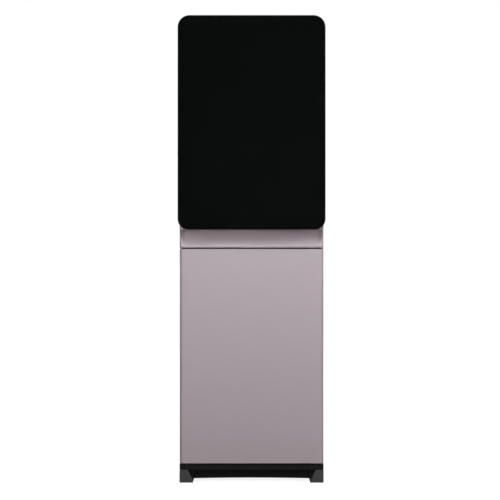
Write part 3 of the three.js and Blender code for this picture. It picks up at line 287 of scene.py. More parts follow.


# Painted shade: darkens what lies behind a plane and nearer to the middle than the outer side, where shade
# falls.
def innerShadeTone(tree, space, inside):
    axes = splitAxes(tree, space)
    behind = mathNode(tree, "GREATER_THAN", axes["Y"], inside["behind"])
    within = mathNode(tree, "LESS_THAN", mathNode(tree, "ABSOLUTE", axes["X"]), inside["side"])
    return rangeNode(tree, mathNode(tree, "MULTIPLY", behind, within), (0.0, 1.0), (1.0, inside["tone"]))


lacquerRecipe = {
    "color": (0.44, 0.378, 0.402),
    "flakes": (0.04, 2400),  # how far their tone goes, and their scale
    "flakeDetail": 1.0,
    "metallic": 0.22,
    "roughness": (0.34, 0.4),
    "roughScale": 7,
    "specular": 0.5,
    "coat": 0.22,
    "coatRoughness": 0.16,
    "peel": (420, 0.1, 0.00003),
}
# Painted shade on the side bands of the lower door and the neck, where their skin turns back from the light
paintedSideShade = {"edge": (0.1652, 0.1662), "tone": 0.68}


def lacquer(name, recipe, shadeBand=None):
    material, tree, shader = startMaterial(name)
    space, base = objectSpace(tree), shader.inputs["Base Color"]
    flakeSpread, flakeScale = recipe["flakes"]
    tint(tree, base, addNoise(tree, space, flakeScale, recipe["flakeDetail"]), recipe["color"], flakeSpread)
    # Painted side shade: the colour darkens towards the sides
    if shadeBand:
        scaleTone(tree, base, sideShadeTone(tree, space, shadeBand))
    patches = addNoise(tree, space, recipe["roughScale"])
    wander(tree, shader.inputs["Roughness"], patches, *recipe["roughness"])
    shader.inputs["Metallic"].default_value = recipe["metallic"]
    shader.inputs["Specular IOR Level"].default_value = recipe["specular"]
    shader.inputs["Coat Weight"].default_value = recipe["coat"]
    shader.inputs["Coat Roughness"].default_value = recipe["coatRoughness"]
    scale, strength, depth = recipe["peel"]
    addBump(tree, shader, addNoise(tree, space, scale), strength, depth)
    return material


mouldedRecipe = {
    "toneScale": 38,
    "roughScale": 15,
    "roughSpread": (-0.05, 0.05),
    "coatRoughness": 0.08,
    "grainStrength": 0.3,
}


# Moulded plastic, rubber or enamel with a fine grain, and painted shade on inner parts when asked for.
def moulded(name, color, roughness, grain=900, depth=0.00006, spread=0.05, specular=0.5, coat=0.0,
            inside=None):
    recipe = mouldedRecipe
    material, tree, shader = startMaterial(name)
    space, base = objectSpace(tree), shader.inputs["Base Color"]
    tint(tree, base, addNoise(tree, space, recipe["toneScale"]), color, spread)
    # Painted shade on the inner parts given by inside
    if inside:
        scaleTone(tree, base, innerShadeTone(tree, space, inside))
    limits = [roughness + step for step in recipe["roughSpread"]]
    wander(tree, shader.inputs["Roughness"], addNoise(tree, space, recipe["roughScale"]), *limits)
    shader.inputs["Specular IOR Level"].default_value = specular
    shader.inputs["Coat Weight"].default_value = coat
    shader.inputs["Coat Roughness"].default_value = recipe["coatRoughness"]
    addBump(tree, shader, addNoise(tree, space, grain), recipe["grainStrength"], depth)
    return material


drawnRecipe = {
    "roughWider": 3,         # roughness waves against the drawn lines
    "roughSpread": (-0.05, 0.07),
    "lineStrength": 0.2,
}


# Drawn or brushed metal, its lines running along the axis with the smallest stretch.
def drawnMetal(name, color, roughness, stretch=(1, 1, 1), scale=240, depth=0.00002, spread=0.06):
    recipe = drawnRecipe
    material, tree, shader = startMaterial(name)
    space = objectSpace(tree, stretch)
    lines = addNoise(tree, space, scale)
    shader.inputs["Metallic"].default_value = 1.0
    tint(tree, shader.inputs["Base Color"], lines, color, spread)
    limits = [roughness + step for step in recipe["roughSpread"]]
    wander(tree, shader.inputs["Roughness"], addNoise(tree, space, scale / recipe["roughWider"]), *limits)
    addBump(tree, shader, lines, recipe["lineStrength"], depth)
    return material


zincRecipe = {
    "color": (0.48, 0.49, 0.51),
    "spangle": 130,          # scale that gives cells of 6 to 9 mm
    "spread": 0.1,
    "roughness": (0.42, 0.58),
    "metallic": 0.75,
    "grain": (500, 0.15, 0.00002),
}


# Zinc sheet with its spangle, each cell of one tone and roughness.
def zincSheet(name, recipe):
    material, tree, shader = startMaterial(name)
    space = objectSpace(tree)
    cells = addNode(tree, "ShaderNodeTexVoronoi", Scale=recipe["spangle"])
    pick = tree.nodes.new("ShaderNodeSeparateColor")
    tree.links.new(space, cells.inputs["Vector"])
    tree.links.new(cells.outputs["Color"], pick.inputs["Color"])
    full = (0.0, 1.0)
    tint(tree, shader.inputs["Base Color"], pick.outputs["Red"], recipe["color"], recipe["spread"], full)
    wander(tree, shader.inputs["Roughness"], pick.outputs["Green"], *recipe["roughness"], full)
    shader.inputs["Metallic"].default_value = recipe["metallic"]
    scale, strength, depth = recipe["grain"]
    addBump(tree, shader, addNoise(tree, space, scale), strength, depth)
    return material


glassRecipe = {
    "color": (0.0016, 0.0021, 0.0018),
    "toneScale": 5,
    "spread": 0.08,
    "roughness": (0.03, 0.05),
    "roughScale": 9,
    "ior": 1.52,
}


def polishedGlass(name, recipe):
    material, tree, shader = startMaterial(name)
    space = objectSpace(tree)
    tones = addNoise(tree, space, recipe["toneScale"])
    tint(tree, shader.inputs["Base Color"], tones, recipe["color"], recipe["spread"])
    patches = addNoise(tree, space, recipe["roughScale"])
    wander(tree, shader.inputs["Roughness"], patches, *recipe["roughness"])
    shader.inputs["IOR"].default_value = recipe["ior"]
    return material


foamRecipe = {
    "color": (0.78, 0.77, 0.72),
    "toneScale": 60,
    "spread": 0.04,
    "roughness": 0.92,
    "beads": (260, 0.6, 0.0006),
}


def foamBeads(name, recipe):
    material, tree, shader = startMaterial(name)
    space = objectSpace(tree)
    scale, strength, depth = recipe["beads"]
    beads = addNode(tree, "ShaderNodeTexVoronoi", Scale=scale)
    tree.links.new(space, beads.inputs["Vector"])
    tones = addNoise(tree, space, recipe["toneScale"])
    tint(tree, shader.inputs["Base Color"], tones, recipe["color"], recipe["spread"])
    shader.inputs["Roughness"].default_value = recipe["roughness"]
    addBump(tree, shader, beads.outputs["Distance"], strength, depth)
    return material


mouldingToneAndShade = 0.92  # moulded parts darker than the painted steel: partly their own plastic tone, partly painted shade for the neck under the glass door
mouldingRecipe = dict(lacquerRecipe, color=[c * mouldingToneAndShade for c in lacquerRecipe["color"]])
satinRecipe = dict(lacquerRecipe, roughness=(0.54, 0.6), specular=0.22, coat=0.0)
# Painted shade on the inner parts of the front feet, behind their slanted faces
footInnerShade = {"behind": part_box("front_foot_left")[0].y + 0.0195, "side": 0.1685, "tone": 0.25}
footColor = (0.05, 0.05, 0.05)

# Each finish with the record's slot that it stands for
finishes = {
    "champagne": (lacquer("champagneLacquer", lacquerRecipe), "champagne_metal"),
    "champagneMouldingShaded": (lacquer("champagneMouldingShaded", mouldingRecipe, paintedSideShade), "champagne_plastic"),
    "champagneTop": (lacquer("champagneTop", satinRecipe), "champagne_plastic"),
    "champagneDoorSideShade": (lacquer("champagneDoorSideShade", lacquerRecipe, paintedSideShade), "champagne_metal"),
    "glass": (polishedGlass("blackGlass", glassRecipe), "black_glass"),
    "black": (moulded("blackPlastic", (0.0075, 0.0075, 0.008), 0.52, specular=0.35), "black_plastic"),
    "tapBlack": (moulded("tapBlack", (0.013, 0.013, 0.014), 0.36), "black_plastic"),
    "baseBlack": (moulded("baseBlack", (0.0078, 0.0078, 0.0082), 0.6, specular=0.2), "black_plastic"),
    "grey": (moulded("greyPlastic", footColor, 0.55, specular=0.35), "grey_plastic"),
    "footGreyInnerShade": (moulded("footGreyInnerShade", footColor, 0.55, specular=0.35, inside=footInnerShade), "grey_plastic"),
    "alcove": (moulded("alcoveGrey", (0.085, 0.086, 0.09), 0.48), "grey_plastic"),
    "pale": (moulded("palePlastic", (0.62, 0.63, 0.64), 0.46), "pale_plastic"),
    "white": (moulded("whitePlastic", (0.78, 0.78, 0.76), 0.3, depth=0.00002), "white_plastic"),
    "red": (moulded("redPlastic", (0.46, 0.02, 0.016), 0.28, depth=0.00002), "red_plastic"),
    "blue": (moulded("bluePlastic", (0.015, 0.085, 0.4), 0.28, depth=0.00002), "blue_plastic"),
    "lens": (moulded("lampLens", (0.3, 0.32, 0.34), 0.16, depth=0.00001, coat=0.4), "lamp_lens"),
    "zinc": (zincSheet("zincSheet", zincRecipe), "steel_sheet"),
    "brushed": (drawnMetal("brushedSteel", (0.58, 0.58, 0.59), 0.3, (1, 14, 14)), "stainless"),
    "chrome": (drawnMetal("chromePlate", (0.75, 0.75, 0.76), 0.1, scale=70, spread=0.02), "stainless"),
    "screw": (drawnMetal("zincScrew", (0.5, 0.5, 0.52), 0.34, scale=160, spread=0.08), "steel_sheet"),
    "enamel": (moulded("blackEnamel", (0.011, 0.011, 0.012), 0.34, 420, 0.00003), "black_enamel"),
    "copper": (drawnMetal("copperTube", (0.6, 0.28, 0.15), 0.32, (8, 8, 1)), "copper"),
    "foam": (foamBeads("foamBeads", foamRecipe), "foam"),
    "tubing": (moulded("siliconeTube", (0.66, 0.71, 0.73), 0.34), "tubing"),
    "rubber": (moulded("softRubber", (0.012, 0.012, 0.012), 0.72, 1300, 0.00008, specular=0.25),
               "black_plastic"),
}
print("finishes made:", len(finishes))


# The frame's own nodes
dressSetup = {
    "weld": 0.00002,         # metres
    "flatAngle": 0.4,        # degrees, facets this close to flat become one face
    "softAngle": 36,         # degrees, sharper edges are rounded
    "segments": 2,
}


def addBevel(piece, width, angle):
    soften = piece.modifiers.new("soften", "BEVEL")
    soften.width = width * mm
    soften.segments = dressSetup["segments"]
    soften.limit_method = "ANGLE"
    soften.angle_limit = math.radians(angle)


# Welds and flattens a node's facets, rounds its edges and smooths its shading.
def dress(name, finish, bevel, setup):
    node = nodes[name]
    node.data.materials.clear()
    node.data.materials.append(finishes[finish][0])
    if "custom_normal" in node.data.attributes:
        node.data.attributes.remove(node.data.attributes["custom_normal"])
    for face in node.data.polygons:
        face.use_smooth = True
        face.material_index = 0
    weld = node.modifiers.new("weld", "WELD")
    weld.merge_threshold = setup["weld"]
    flat = node.modifiers.new("flat", "DECIMATE")
    flat.decimate_type = "DISSOLVE"
    flat.angle_limit = math.radians(setup["flatAngle"])
    if bevel:
        addBevel(node, bevel, setup["softAngle"])
    even = node.modifiers.new("even", "WEIGHTED_NORMAL")
    even.keep_sharp = True


# Finish of each node and the width of its rounded edges
nodeFinish = {
    "base_frame": ("baseBlack", 0.8), "neck_panel": ("champagne", 0.8),
    "front_foot_left": ("footGreyInnerShade", 1.2), "front_foot_right": ("footGreyInnerShade", 1.2),
    "rear_foot_left": ("grey", 1.2), "rear_foot_right": ("grey", 1.2),
    "left_side_panel": ("champagne", 0.35), "right_side_panel": ("champagne", 0.35),
    "rear_panel": ("zinc", 0.2), "top_cover": ("champagneTop", 1.2), "upper_fascia": ("champagne", 0.8),
    "indicator_lens": ("lens", 0.5), "alcove_liner": ("alcove", 0.8), "tap_panel": ("black", 0.6),
    "drip_tray": ("black", 0.6), "drip_grille": ("brushed", 0.5), "cold_tap_body": ("tapBlack", 0.5),
    "room_tap_body": ("tapBlack", 0.5), "hot_tap_body": ("tapBlack", 0.5), "cold_tap_lever": ("blue", 0.6),
    "room_tap_lever": ("white", 0.6), "hot_tap_lever": ("red", 0.6), "hot_lock_button": ("white", 0.5),
    "bottle_bay_liner": ("pale", 1.0), "bottle_tray": ("grey", 0.8), "suction_probe": ("brushed", 0.4),
    "probe_holder": ("grey", 0.4), "suction_hose": ("tubing", 0), "mid_shelf": ("zinc", 0.2),
    "tank_shelf": ("zinc", 0.2), "cold_tank": ("brushed", 0), "cold_tank_foam": ("foam", 1.5),
    "hot_tank": ("brushed", 0), "hot_tank_jacket": ("foam", 1.5), "water_pump": ("black", 0.5),
    "cold_pipe": ("tubing", 0), "hot_pipe": ("tubing", 0), "room_pipe": ("tubing", 0),
    "compressor": ("enamel", 0.6), "compressor_base": ("zinc", 0.4), "filter_drier": ("copper", 0),
    "condenser_tube": ("enamel", 0), "condenser_wires": ("enamel", 0),
    "condenser_bracket_top": ("zinc", 0.2), "condenser_bracket_bottom": ("zinc", 0.2),
    "control_box": ("pale", 1.0), "switch_plate": ("black", 0.5), "cold_switch": ("blue", 0.6),
    "hot_switch": ("red", 0.6), "cord_gland": ("black", 0.6), "drain_outlet": ("black", 0.5),
    # The lower hinge leaves are black enamel, dark also as painted shade in the gap above the lower door
    "drain_cap": ("white", 0.8), "lower_hinge_bottom": ("enamel", 0.3), "lower_hinge_top": ("enamel", 0.3),
    "upper_hinge_bottom": ("zinc", 0.3), "upper_hinge_top": ("zinc", 0.3), "glass_pane": ("glass", 0.5),
    "upper_door_frame": ("black", 0.8), "lower_door_panel": ("champagneDoorSideShade", 0.5),
    "lower_door_inner": ("pale", 0.8),
}
for nodeName, (finish, bevel) in nodeFinish.items():
    dress(nodeName, finish, bevel, dressSetup)
print("frame dressed")


# Shapes for the finer pieces: each gives the points in millimetres and the faces of closed forms.
def boxes(*spans):
    points, faces = [], []
    for x0, x1, y0, y1, z0, z1 in spans:
        k = len(points)
        points += [(x, y, z) for x in (x0, x1) for y in (y0, y1) for z in (z0, z1)]
        faces += [(k, k + 1, k + 3, k + 2), (k + 4, k + 6, k + 7, k + 5), (k, k + 4, k + 5, k + 1),
                  (k + 2, k + 3, k + 7, k + 6), (k, k + 2, k + 6, k + 4), (k + 1, k + 5, k + 7, k + 3)]
    return points, faces


# A profile of (radius, along) turned about an axis at each centre. A hollow one closes on itself.
def turned(profile, centres, axis="y", sides=28, hollow=False):
    points, faces = [], []
    rings = len(profile)
    for centre in centres:
        k = len(points)
        for radius, along in profile:
            for i in range(sides):
                turn = 2 * math.pi * i / sides
                u, v = radius * math.cos(turn), radius * math.sin(turn)
                step = {"x": (along, u, v), "y": (u, along, v), "z": (u, v, along)}[axis]
                points.append(tuple(c + s for c, s in zip(centre, step)))
        for ring in range(rings if hollow else rings - 1):
            here, there = k + ring * sides, k + (ring + 1) % rings * sides
            for i in range(sides):
                j = (i + 1) % sides
                faces.append((here + i, here + j, there + j, there + i))
        if not hollow:
            faces.append(tuple(k + i for i in range(sides)))
            faces.append(tuple(k + (rings - 1) * sides + i for i in range(sides)))
    return points, faces


def roundedOutline(u0, u1, v0, v1, radius, steps=5):
    centres = [(u1 - radius, v1 - radius), (u0 + radius, v1 - radius), (u0 + radius, v0 + radius),
               (u1 - radius, v0 + radius)]
    line = []
    for quarter, (u, v) in enumerate(centres):
        for i in range(steps + 1):
            turn = math.pi / 2 * (quarter + i / steps)
            line.append((u + radius * math.cos(turn), v + radius * math.sin(turn)))
    return line


# Frame of a given width that faces the front, from y0 to y1
def frontRing(x0, x1, z0, z1, width, radius, y0, y1, leastRadius=0.5):
    outer = roundedOutline(x0, x1, z0, z1, radius)
    inner = roundedOutline(x0 + width, x1 - width, z0 + width, z1 - width, max(leastRadius, radius - width))
    n = len(outer)
    points = [(u, y, v) for y in (y0, y1) for line in (outer, inner) for u, v in line]
    faces = []
    for i in range(n):
        j = (i + 1) % n
        faces += [(i, j, n + j, n + i), (2 * n + i, 3 * n + i, 3 * n + j, 2 * n + j),
                  (i, 2 * n + i, 2 * n + j, j), (n + i, n + j, 3 * n + j, 3 * n + i)]
    return points, faces


def together(*shapes):
    points, faces = [], []
    for morePoints, moreFaces in shapes:
        k = len(points)
        points += morePoints
        faces += [tuple(k + i for i in face) for face in moreFaces]
    return points, faces


filletSetup = {
    "steps": 8,
    "straight": 0.01,        # radians, flatter corners stay as they are
    "share": 0.49,           # most of a leg that a bend may take
    "pull": 0.85,            # how far a bend leans to its corner, near that of an arc
}


# A path through the corners with each bend rounded.
def filleted(corners, radius, setup):
    corners = [Vector(corner) for corner in corners]
    share, pull = setup["share"], setup["pull"]
    path = [corners[0]]
    for before, corner, after in zip(corners, corners[1:], corners[2:]):
        back, ahead = (before - corner), (after - corner)
        if back.angle(ahead) > math.pi - setup["straight"]:
            path.append(corner)
            continue
        reach = min(radius / math.tan(back.angle(ahead) / 2), back.length * share, ahead.length * share)
        start, end = corner + back.normalized() * reach, corner + ahead.normalized() * reach
        for i in range(setup["steps"] + 1):
            t = i / setup["steps"]
            path.append(start * (1 - t) ** 2 + corner * (2 * pull * t * (1 - t)) + end * t ** 2
                        + (start + end) * ((1 - pull) * t * (1 - t)))
    return path + [corners[-1]]


def settle(piece, body, finish, replaced):
    material, slotName = finishes[finish]
    piece.data.materials.append(material)
    bpy.context.scene.collection.objects.link(piece)
    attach(piece, body)
    if replaced:
        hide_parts(*replaced)


def addPiece(name, body, finish, shape, bevel=0.0, replaced=(), sharp=36):
    points, faces = shape
    mesh = bpy.data.meshes.new(name)
    mesh.from_pydata([tuple(c * mm for c in point) for point in points], [], faces)
    build = bmesh.new()
    build.from_mesh(mesh)
    bmesh.ops.recalc_face_normals(build, faces=build.faces)
    build.to_mesh(mesh)
    build.free()
    mesh.shade_smooth()
    piece = bpy.data.objects.new(name, mesh)
    if bevel:
        addBevel(piece, bevel, sharp)
        piece.modifiers.new("even", "WEIGHTED_NORMAL")
    else:
        mesh.set_sharp_from_angle(angle=math.radians(sharp))
    settle(piece, body, finish, replaced)


# Round tubes or wires along paths in millimetres
def addTube(name, body, finish, paths, radius, replaced=(), resolution=4):
    curve = bpy.data.curves.new(name, "CURVE")
    curve.dimensions = "3D"
    curve.bevel_depth = radius * mm
    curve.bevel_resolution = resolution
    curve.use_fill_caps = True
    for path in paths:
        line = curve.splines.new("POLY")
        line.points.add(len(path) - 1)
        for point, place in zip(line.points, path):
            point.co = (*(c * mm for c in place), 1)
        line.use_smooth = True
    settle(bpy.data.objects.new(name, curve), body, finish, replaced)


# A node's box in millimetres: x0, x1, y0, y1, z0, z1
def span(name):
    low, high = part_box(name)
    return [value / mm for pair in zip(low, high) for value in pair]


# How far trim stands off the face behind it
seatGap = 0.05
closeGap = 0.02


# Neck above the lower door: a hand hold that runs out softly at its ends
neckCove = {
    "lip": 4.5,              # front edge under the hollow
    "depth": 20.0,
    "turn": (10.0, 11.0),    # its section bends near here, behind and above the lip
    "hollowSteps": 16,
    "edgeRadius": 10.0,      # upright edges at the sides
    "edgeSteps": 9,
    "fade": (169.7, 157.0),  # hollow runs out between these distances from the middle
    "fadeSteps": 3,
    "lipRadius": 1.8,
    "rimRadius": 0.8,
    "bendSteps": 4,          # of the lip and the rims
    "raised": 1.0,           # over the seal under it, which widens the painted shade of the gap
    "sharp": 40,
}


# A closed line of (corner, radius), its corners rounded.
def roundedSection(corners, steps):
    line = []
    for i, (corner, radius) in enumerate(corners):
        if not radius:
            line.append(corner)
            continue
        before, after = Vector(corners[i - 1][0]), Vector(corners[(i + 1) % len(corners)][0])
        corner = Vector(corner)
        start = corner + (before - corner).normalized() * radius
        end = corner + (after - corner).normalized() * radius
        for step in range(steps + 1):
            t = step / steps
            line.append(tuple(start * (1 - t) ** 2 + corner * (2 * t * (1 - t)) + end * t ** 2))
    return line


def neckShape(cove):
    _, x1, front, back, low, high = span("neck_panel")
    low += cove["raised"]
    lipZ = low + cove["lip"]
    turnZ = lipZ + cove["turn"][1]
    hollow = []
    for i in range(1, cove["hollowSteps"]):
        t = i / cove["hollowSteps"]
        hollow.append(((2 * t * (1 - t) * cove["turn"][0] + t * t * cove["depth"],
                        (1 - t) ** 2 * lipZ + 2 * t * (1 - t) * turnZ + t * t * high), 0))
    rim = cove["rimRadius"]
    frontLine = [((0, low), rim), ((0, lipZ), cove["lipRadius"]), *hollow, ((cove["depth"], high), rim)]
    backLine = [((back - front, high), rim), ((back - front, low), rim)]
    section = roundedSection(frontLine + backLine, cove["bendSteps"])
    frontCount = len(section) - len(backLine) * (cove["bendSteps"] + 1)
    radius = cove["edgeRadius"]
    turns = [math.radians(90 * i / cove["edgeSteps"]) for i in range(cove["edgeSteps"] + 1)]
    edge = [(x1 - radius + radius * math.sin(turn), radius - radius * math.cos(turn)) for turn in turns]
    fadeEnd, fadeStart = cove["fade"]
    run = x1 - radius - fadeStart
    side = [(fadeStart + run * i / cove["fadeSteps"], 0) for i in range(cove["fadeSteps"])] + edge
    columns = [(-x, setback) for x, setback in reversed(side)] + [(0, 0)] + side
    points, faces = [], []
    for x, setback in columns:
        t = min(1, max(0, (fadeEnd - abs(x)) / (fadeEnd - fadeStart)))
        share = t * t * (3 - 2 * t)
        for i, (depth, z) in enumerate(section):
            if i < frontCount:
                depth = setback + depth * share
            points.append((x, front + depth, z))
    n = len(section)
    for k in range(len(columns) - 1):
        for i in range(n):
            j = (i + 1) % n
            faces.append((k * n + i, k * n + j, (k + 1) * n + j, (k + 1) * n + i))
    faces += [tuple(range(n)), tuple((len(columns) - 1) * n + i for i in range(n))]
    return points, faces


addPiece("neckCove", "cabinet", "champagneMouldingShaded", neckShape(neckCove), replaced=("neck_panel",),
         sharp=neckCove["sharp"])

# Black strip under the neck, thinner at the hinge: a rubber seal, and a dark sheet that paints the shade of
# the gap above the lower door
neckSealAndGapShade = {
    "half": 166,
    "hinge": 136,            # thin beyond this
    "lap": 0.5,              # of the thin part into the other
    "inset": 1.0,            # behind the neck's front
    "depth": 20,
    "down": 2.25,            # below the solid neck
    "thinUp": 0.1,           # underside of the thin part above it
    "bevel": 0.2,
}


def makeNeckSeal(seal, raised):
    front, low = span("neck_panel")[2] + seal["inset"], span("neck_panel")[4]
    back, top = front + seal["depth"], low + raised - seatGap
    strip = boxes((-seal["half"], seal["hinge"], front, back, low - seal["down"], top),
                  (seal["hinge"] - seal["lap"], seal["half"], front, back, low + seal["thinUp"], top))
    addPiece("neckSealAndGapShade", "cabinet", "rubber", strip, seal["bevel"])


makeNeckSeal(neckSealAndGapShade, neckCove["raised"])
print("neck made")


# Doors: gaskets, magnets and their plates, ribs
gaskets = {
    "upperGasket": {"body": "upper_door", "behind": "upper_door_frame", "x": 152, "z": (611, 1064)},
    "lowerGasket": {"body": "lower_door", "behind": "lower_door_inner", "x": 162, "z": (50, 546)},
}
gasketForm = {
    "radius": 10,            # at the corners
    "foot": 11, "footDepth": 1.1,
    "lip": 5, "lipDepth": 1.7, "lipSunk": 0.2,
    "bevel": 0.5,
}


def makeGasket(name, place, form):
    y0 = span(place["behind"])[3] + seatGap
    y1 = y0 + form["footDepth"]
    inset = (form["foot"] - form["lip"]) / 2
    (z0, z1), x, radius = place["z"], place["x"], form["radius"]
    foot = frontRing(-x, x, z0, z1, form["foot"], radius, y0, y1)
    lip = frontRing(-x + inset, x - inset, z0 + inset, z1 - inset, form["lip"], radius - inset,
                    y1 - form["lipSunk"], y1 + form["lipDepth"])
    addPiece(name, place["body"], "rubber", together(foot, lip), form["bevel"])


for gasketName, place in gaskets.items():
    makeGasket(gasketName, place, gasketForm)

magnets = {
    "upper": {"body": "upper_door", "door": "upper_door_frame", "against": "upper_fascia", "x": -160,
              "heights": (720, 980)},
    "lower": {"body": "lower_door", "door": "lower_door_inner", "against": "left_side_panel", "x": -165,
              "heights": (140, 450)},
}
magnetForm = {
    "width": 7, "height": 42, "proud": 1.6, "bevel": 0.4,
    "plate": 0.35, "plateWider": 0.5, "plateTaller": 2, "plateBevel": 0.12,
}


def makeMagnets(side, place, form):
    doorBack = span(place["door"])[3] + seatGap
    wallFront = span(place["against"])[2] - seatGap
    x, across, tall = place["x"], form["width"] / 2, form["height"] / 2
    wide, more = across + form["plateWider"], form["plateTaller"]
    reach = [(z - tall, z + tall) for z in place["heights"]]
    bars = [(x - across, x + across, doorBack, doorBack + form["proud"], z0, z1) for z0, z1 in reach]
    plates = [(x - wide, x + wide, wallFront - form["plate"], wallFront, z0 - more, z1 + more)
              for z0, z1 in reach]
    addPiece(side + "Magnets", place["body"], "rubber", boxes(*bars), form["bevel"])
    addPiece(side + "MagnetPlates", "cabinet", "brushed", boxes(*plates), form["plateBevel"])


for side, place in magnets.items():
    makeMagnets(side, place, magnetForm)

doorRibs = {
    "x": (-120, 120), "z": (110, 486),
    "bars": (204, 298, 392),
    "width": 6, "proud": 1.5, "radius": 16, "bevel": 0.6,
}


def makeDoorRibs(ribs):
    y0 = span("lower_door_inner")[3] + seatGap
    y1 = y0 + ribs["proud"]
    (x0, x1), (z0, z1), width = ribs["x"], ribs["z"], ribs["width"]
    bars = [(x0 + width, x1 - width, y0, y1, z - width / 2, z + width / 2) for z in ribs["bars"]]
    shape = together(frontRing(x0, x1, z0, z1, width, ribs["radius"], y0, y1), boxes(*bars))
    addPiece("lowerDoorRibs", "lower_door", "pale", shape, ribs["bevel"])


makeDoorRibs(doorRibs)
print("doors trimmed")


# Alcove: rim, taps, lamps and tray
alcoveRim = {"width": 4.5, "over": 0.4, "radius": 5, "proud": 0.85, "bevel": 0.35}


def makeAlcoveRim(rim):
    x0, x1, front, _, z0, z1 = span("alcove_liner")
    out, back = rim["width"] - rim["over"], front - seatGap
    shape = frontRing(x0 - out, x1 + out, z0 - out, z1 + out, rim["width"], rim["radius"],
                      back - rim["proud"], back)
    addPiece("alcoveRim", "cabinet", "black", shape, rim["bevel"])


makeAlcoveRim(alcoveRim)

tapTrim = {
    "taps": {"cold": "blue", "room": "white", "hot": "red"},
    "spoutIn": 13,                   # spout's axis behind the body's front
    "collar": (15.1, 16.4, 1.6),     # inner and outer radius, width
    "collarAt": (3.4, 42),           # in front of the tap panel, above its lower edge
    "sleeve": (7.5, 8.7, 4.2),
    "sleeveUp": 0.2,                 # above the spout's end
    "chamfer": 0.3,                  # share of a ring's wall
    "ringSides": 36,
    "mouth": (4.4, 0.25),            # radius, depth of a black disc painted as the shade in each spout's opening
    "mouthSides": 24,
    "dot": (3.2, 0.5, 6.5),          # radius, thickness, below the panel's top
    "dotSoft": (0.6, 0.8),           # shares of the thickness and the radius where its edge leans in
    "sharp": 50,
}


def makeTapTrim(trim):
    _, _, panelFront, _, panelLow, panelTop = span("tap_panel")
    collars, sleeves, mouthShades = [], [], []
    for tap, colour in trim["taps"].items():
        x0, x1, front, _, low, _ = span(tap + "_tap_body")
        x, spoutY = (x0 + x1) / 2, front + trim["spoutIn"]
        out, up = trim["collarAt"]
        collars.append((x, panelFront - out, panelLow + up))
        sleeves.append((x, spoutY, low + trim["sleeveUp"]))
        mouthShades.append((x, spoutY, low))
        radius, thickness, below = trim["dot"]
        leanFrom, leanTo = trim["dotSoft"]
        dot = [(radius, -closeGap), (radius, -thickness * leanFrom), (radius * leanTo, -thickness)]
        addPiece(tap + "Dot", "cabinet", colour, turned(dot, [(x, panelFront, panelTop - below)]),
                 sharp=trim["sharp"])
    for name, (inner, outer, width), centres, axis in (("tapCollars", trim["collar"], collars, "y"),
                                                       ("tapSleeves", trim["sleeve"], sleeves, "z")):
        edge = (outer - inner) * trim["chamfer"]
        ring = [(inner, 0), (outer - edge, 0), (outer, edge), (outer, width - edge), (outer - edge, width),
                (inner, width)]
        shape = turned(ring, centres, axis, trim["ringSides"], hollow=True)
        addPiece(name, "cabinet", "chrome", shape, sharp=trim["sharp"])
    # Painted shade: a black disc stands in for each spout's dark opening
    radius, depth = trim["mouth"]
    shape = turned([(radius, -closeGap), (radius, -depth)], mouthShades, "z", trim["mouthSides"])
    addPiece("tapMouthShades", "cabinet", "rubber", shape)


makeTapTrim(tapTrim)

lampDots = {
    "places": {"red": 18, "white": 0, "blue": -18},
    "radius": 2.2, "proud": 0.7,
    "dome": ((1, 0), (0.94, 0.4), (0.75, 0.75), (0.4, 0.96)),  # shares of the radius and of the height
    "tip": 0.1,
    "sharp": 60,
}


def makeLampDots(dots):
    _, _, front, _, z0, z1 = span("indicator_lens")
    dome = [(dots["radius"] * across, -dots["proud"] * out) for across, out in dots["dome"]]
    dome.append((dots["tip"], -dots["proud"]))
    for colour, x in dots["places"].items():
        addPiece(colour + "Lamp", "cabinet", colour, turned(dome, [(x, front, (z0 + z1) / 2)]),
                 sharp=dots["sharp"])


makeLampDots(lampDots)

trayPull = {"half": 34, "proud": 2.2, "sunk": 0.3, "height": 4.5, "below": 3, "bevel": 1.0}


def makeTrayPull(pull):
    half, front, top = pull["half"], span("drip_tray")[2], span("drip_tray")[5] - pull["below"]
    bar = (-half, half, front - pull["proud"], front + pull["sunk"], top - pull["height"], top)
    addPiece("trayPull", "drip_tray", "black", boxes(bar), pull["bevel"])


makeTrayPull(trayPull)
print("alcove trimmed")


# Bottle bay: ribs in its walls and pads in the tray
bayRibs = {
    "wall": 3,               # thickness of the bay's liner
    "width": 4, "proud": 1.2, "bevel": 0.5,
    "heights": (150, 250, 350, 450), "run": (-128, 104),    # side walls, from y to y
    "uprights": (-60, 0, 60, 120), "tall": (84, 524),       # rear wall, from z to z
}


def makeBayRibs(ribs):
    _, x1, _, back, _, _ = span("bottle_bay_liner")
    inside, behind, proud = x1 - ribs["wall"], back - ribs["wall"], ribs["proud"]
    half = ribs["width"] / 2
    y0, y1 = ribs["run"]
    bars = []
    for z in ribs["heights"]:
        bars.append((inside - proud, inside - closeGap, y0, y1, z - half, z + half))
        bars.append((-inside + closeGap, -inside + proud, y0, y1, z - half, z + half))
    z0, z1 = ribs["tall"]
    bars += [(x - half, x + half, behind - proud, behind - closeGap, z0, z1) for x in ribs["uprights"]]
    addPiece("bayRibs", "cabinet", "pale", boxes(*bars), ribs["bevel"])


makeBayRibs(bayRibs)

bottlePads = {
    "count": 6, "circle": 98, "radius": 9, "height": 1.3,
    "edge": ((0, 0.6), (0.5, 0.9), (1.2, 1)),  # in from the radius, share of the height
    "floor": 3,              # thickness of the tray's floor
    "sharp": 50,
}


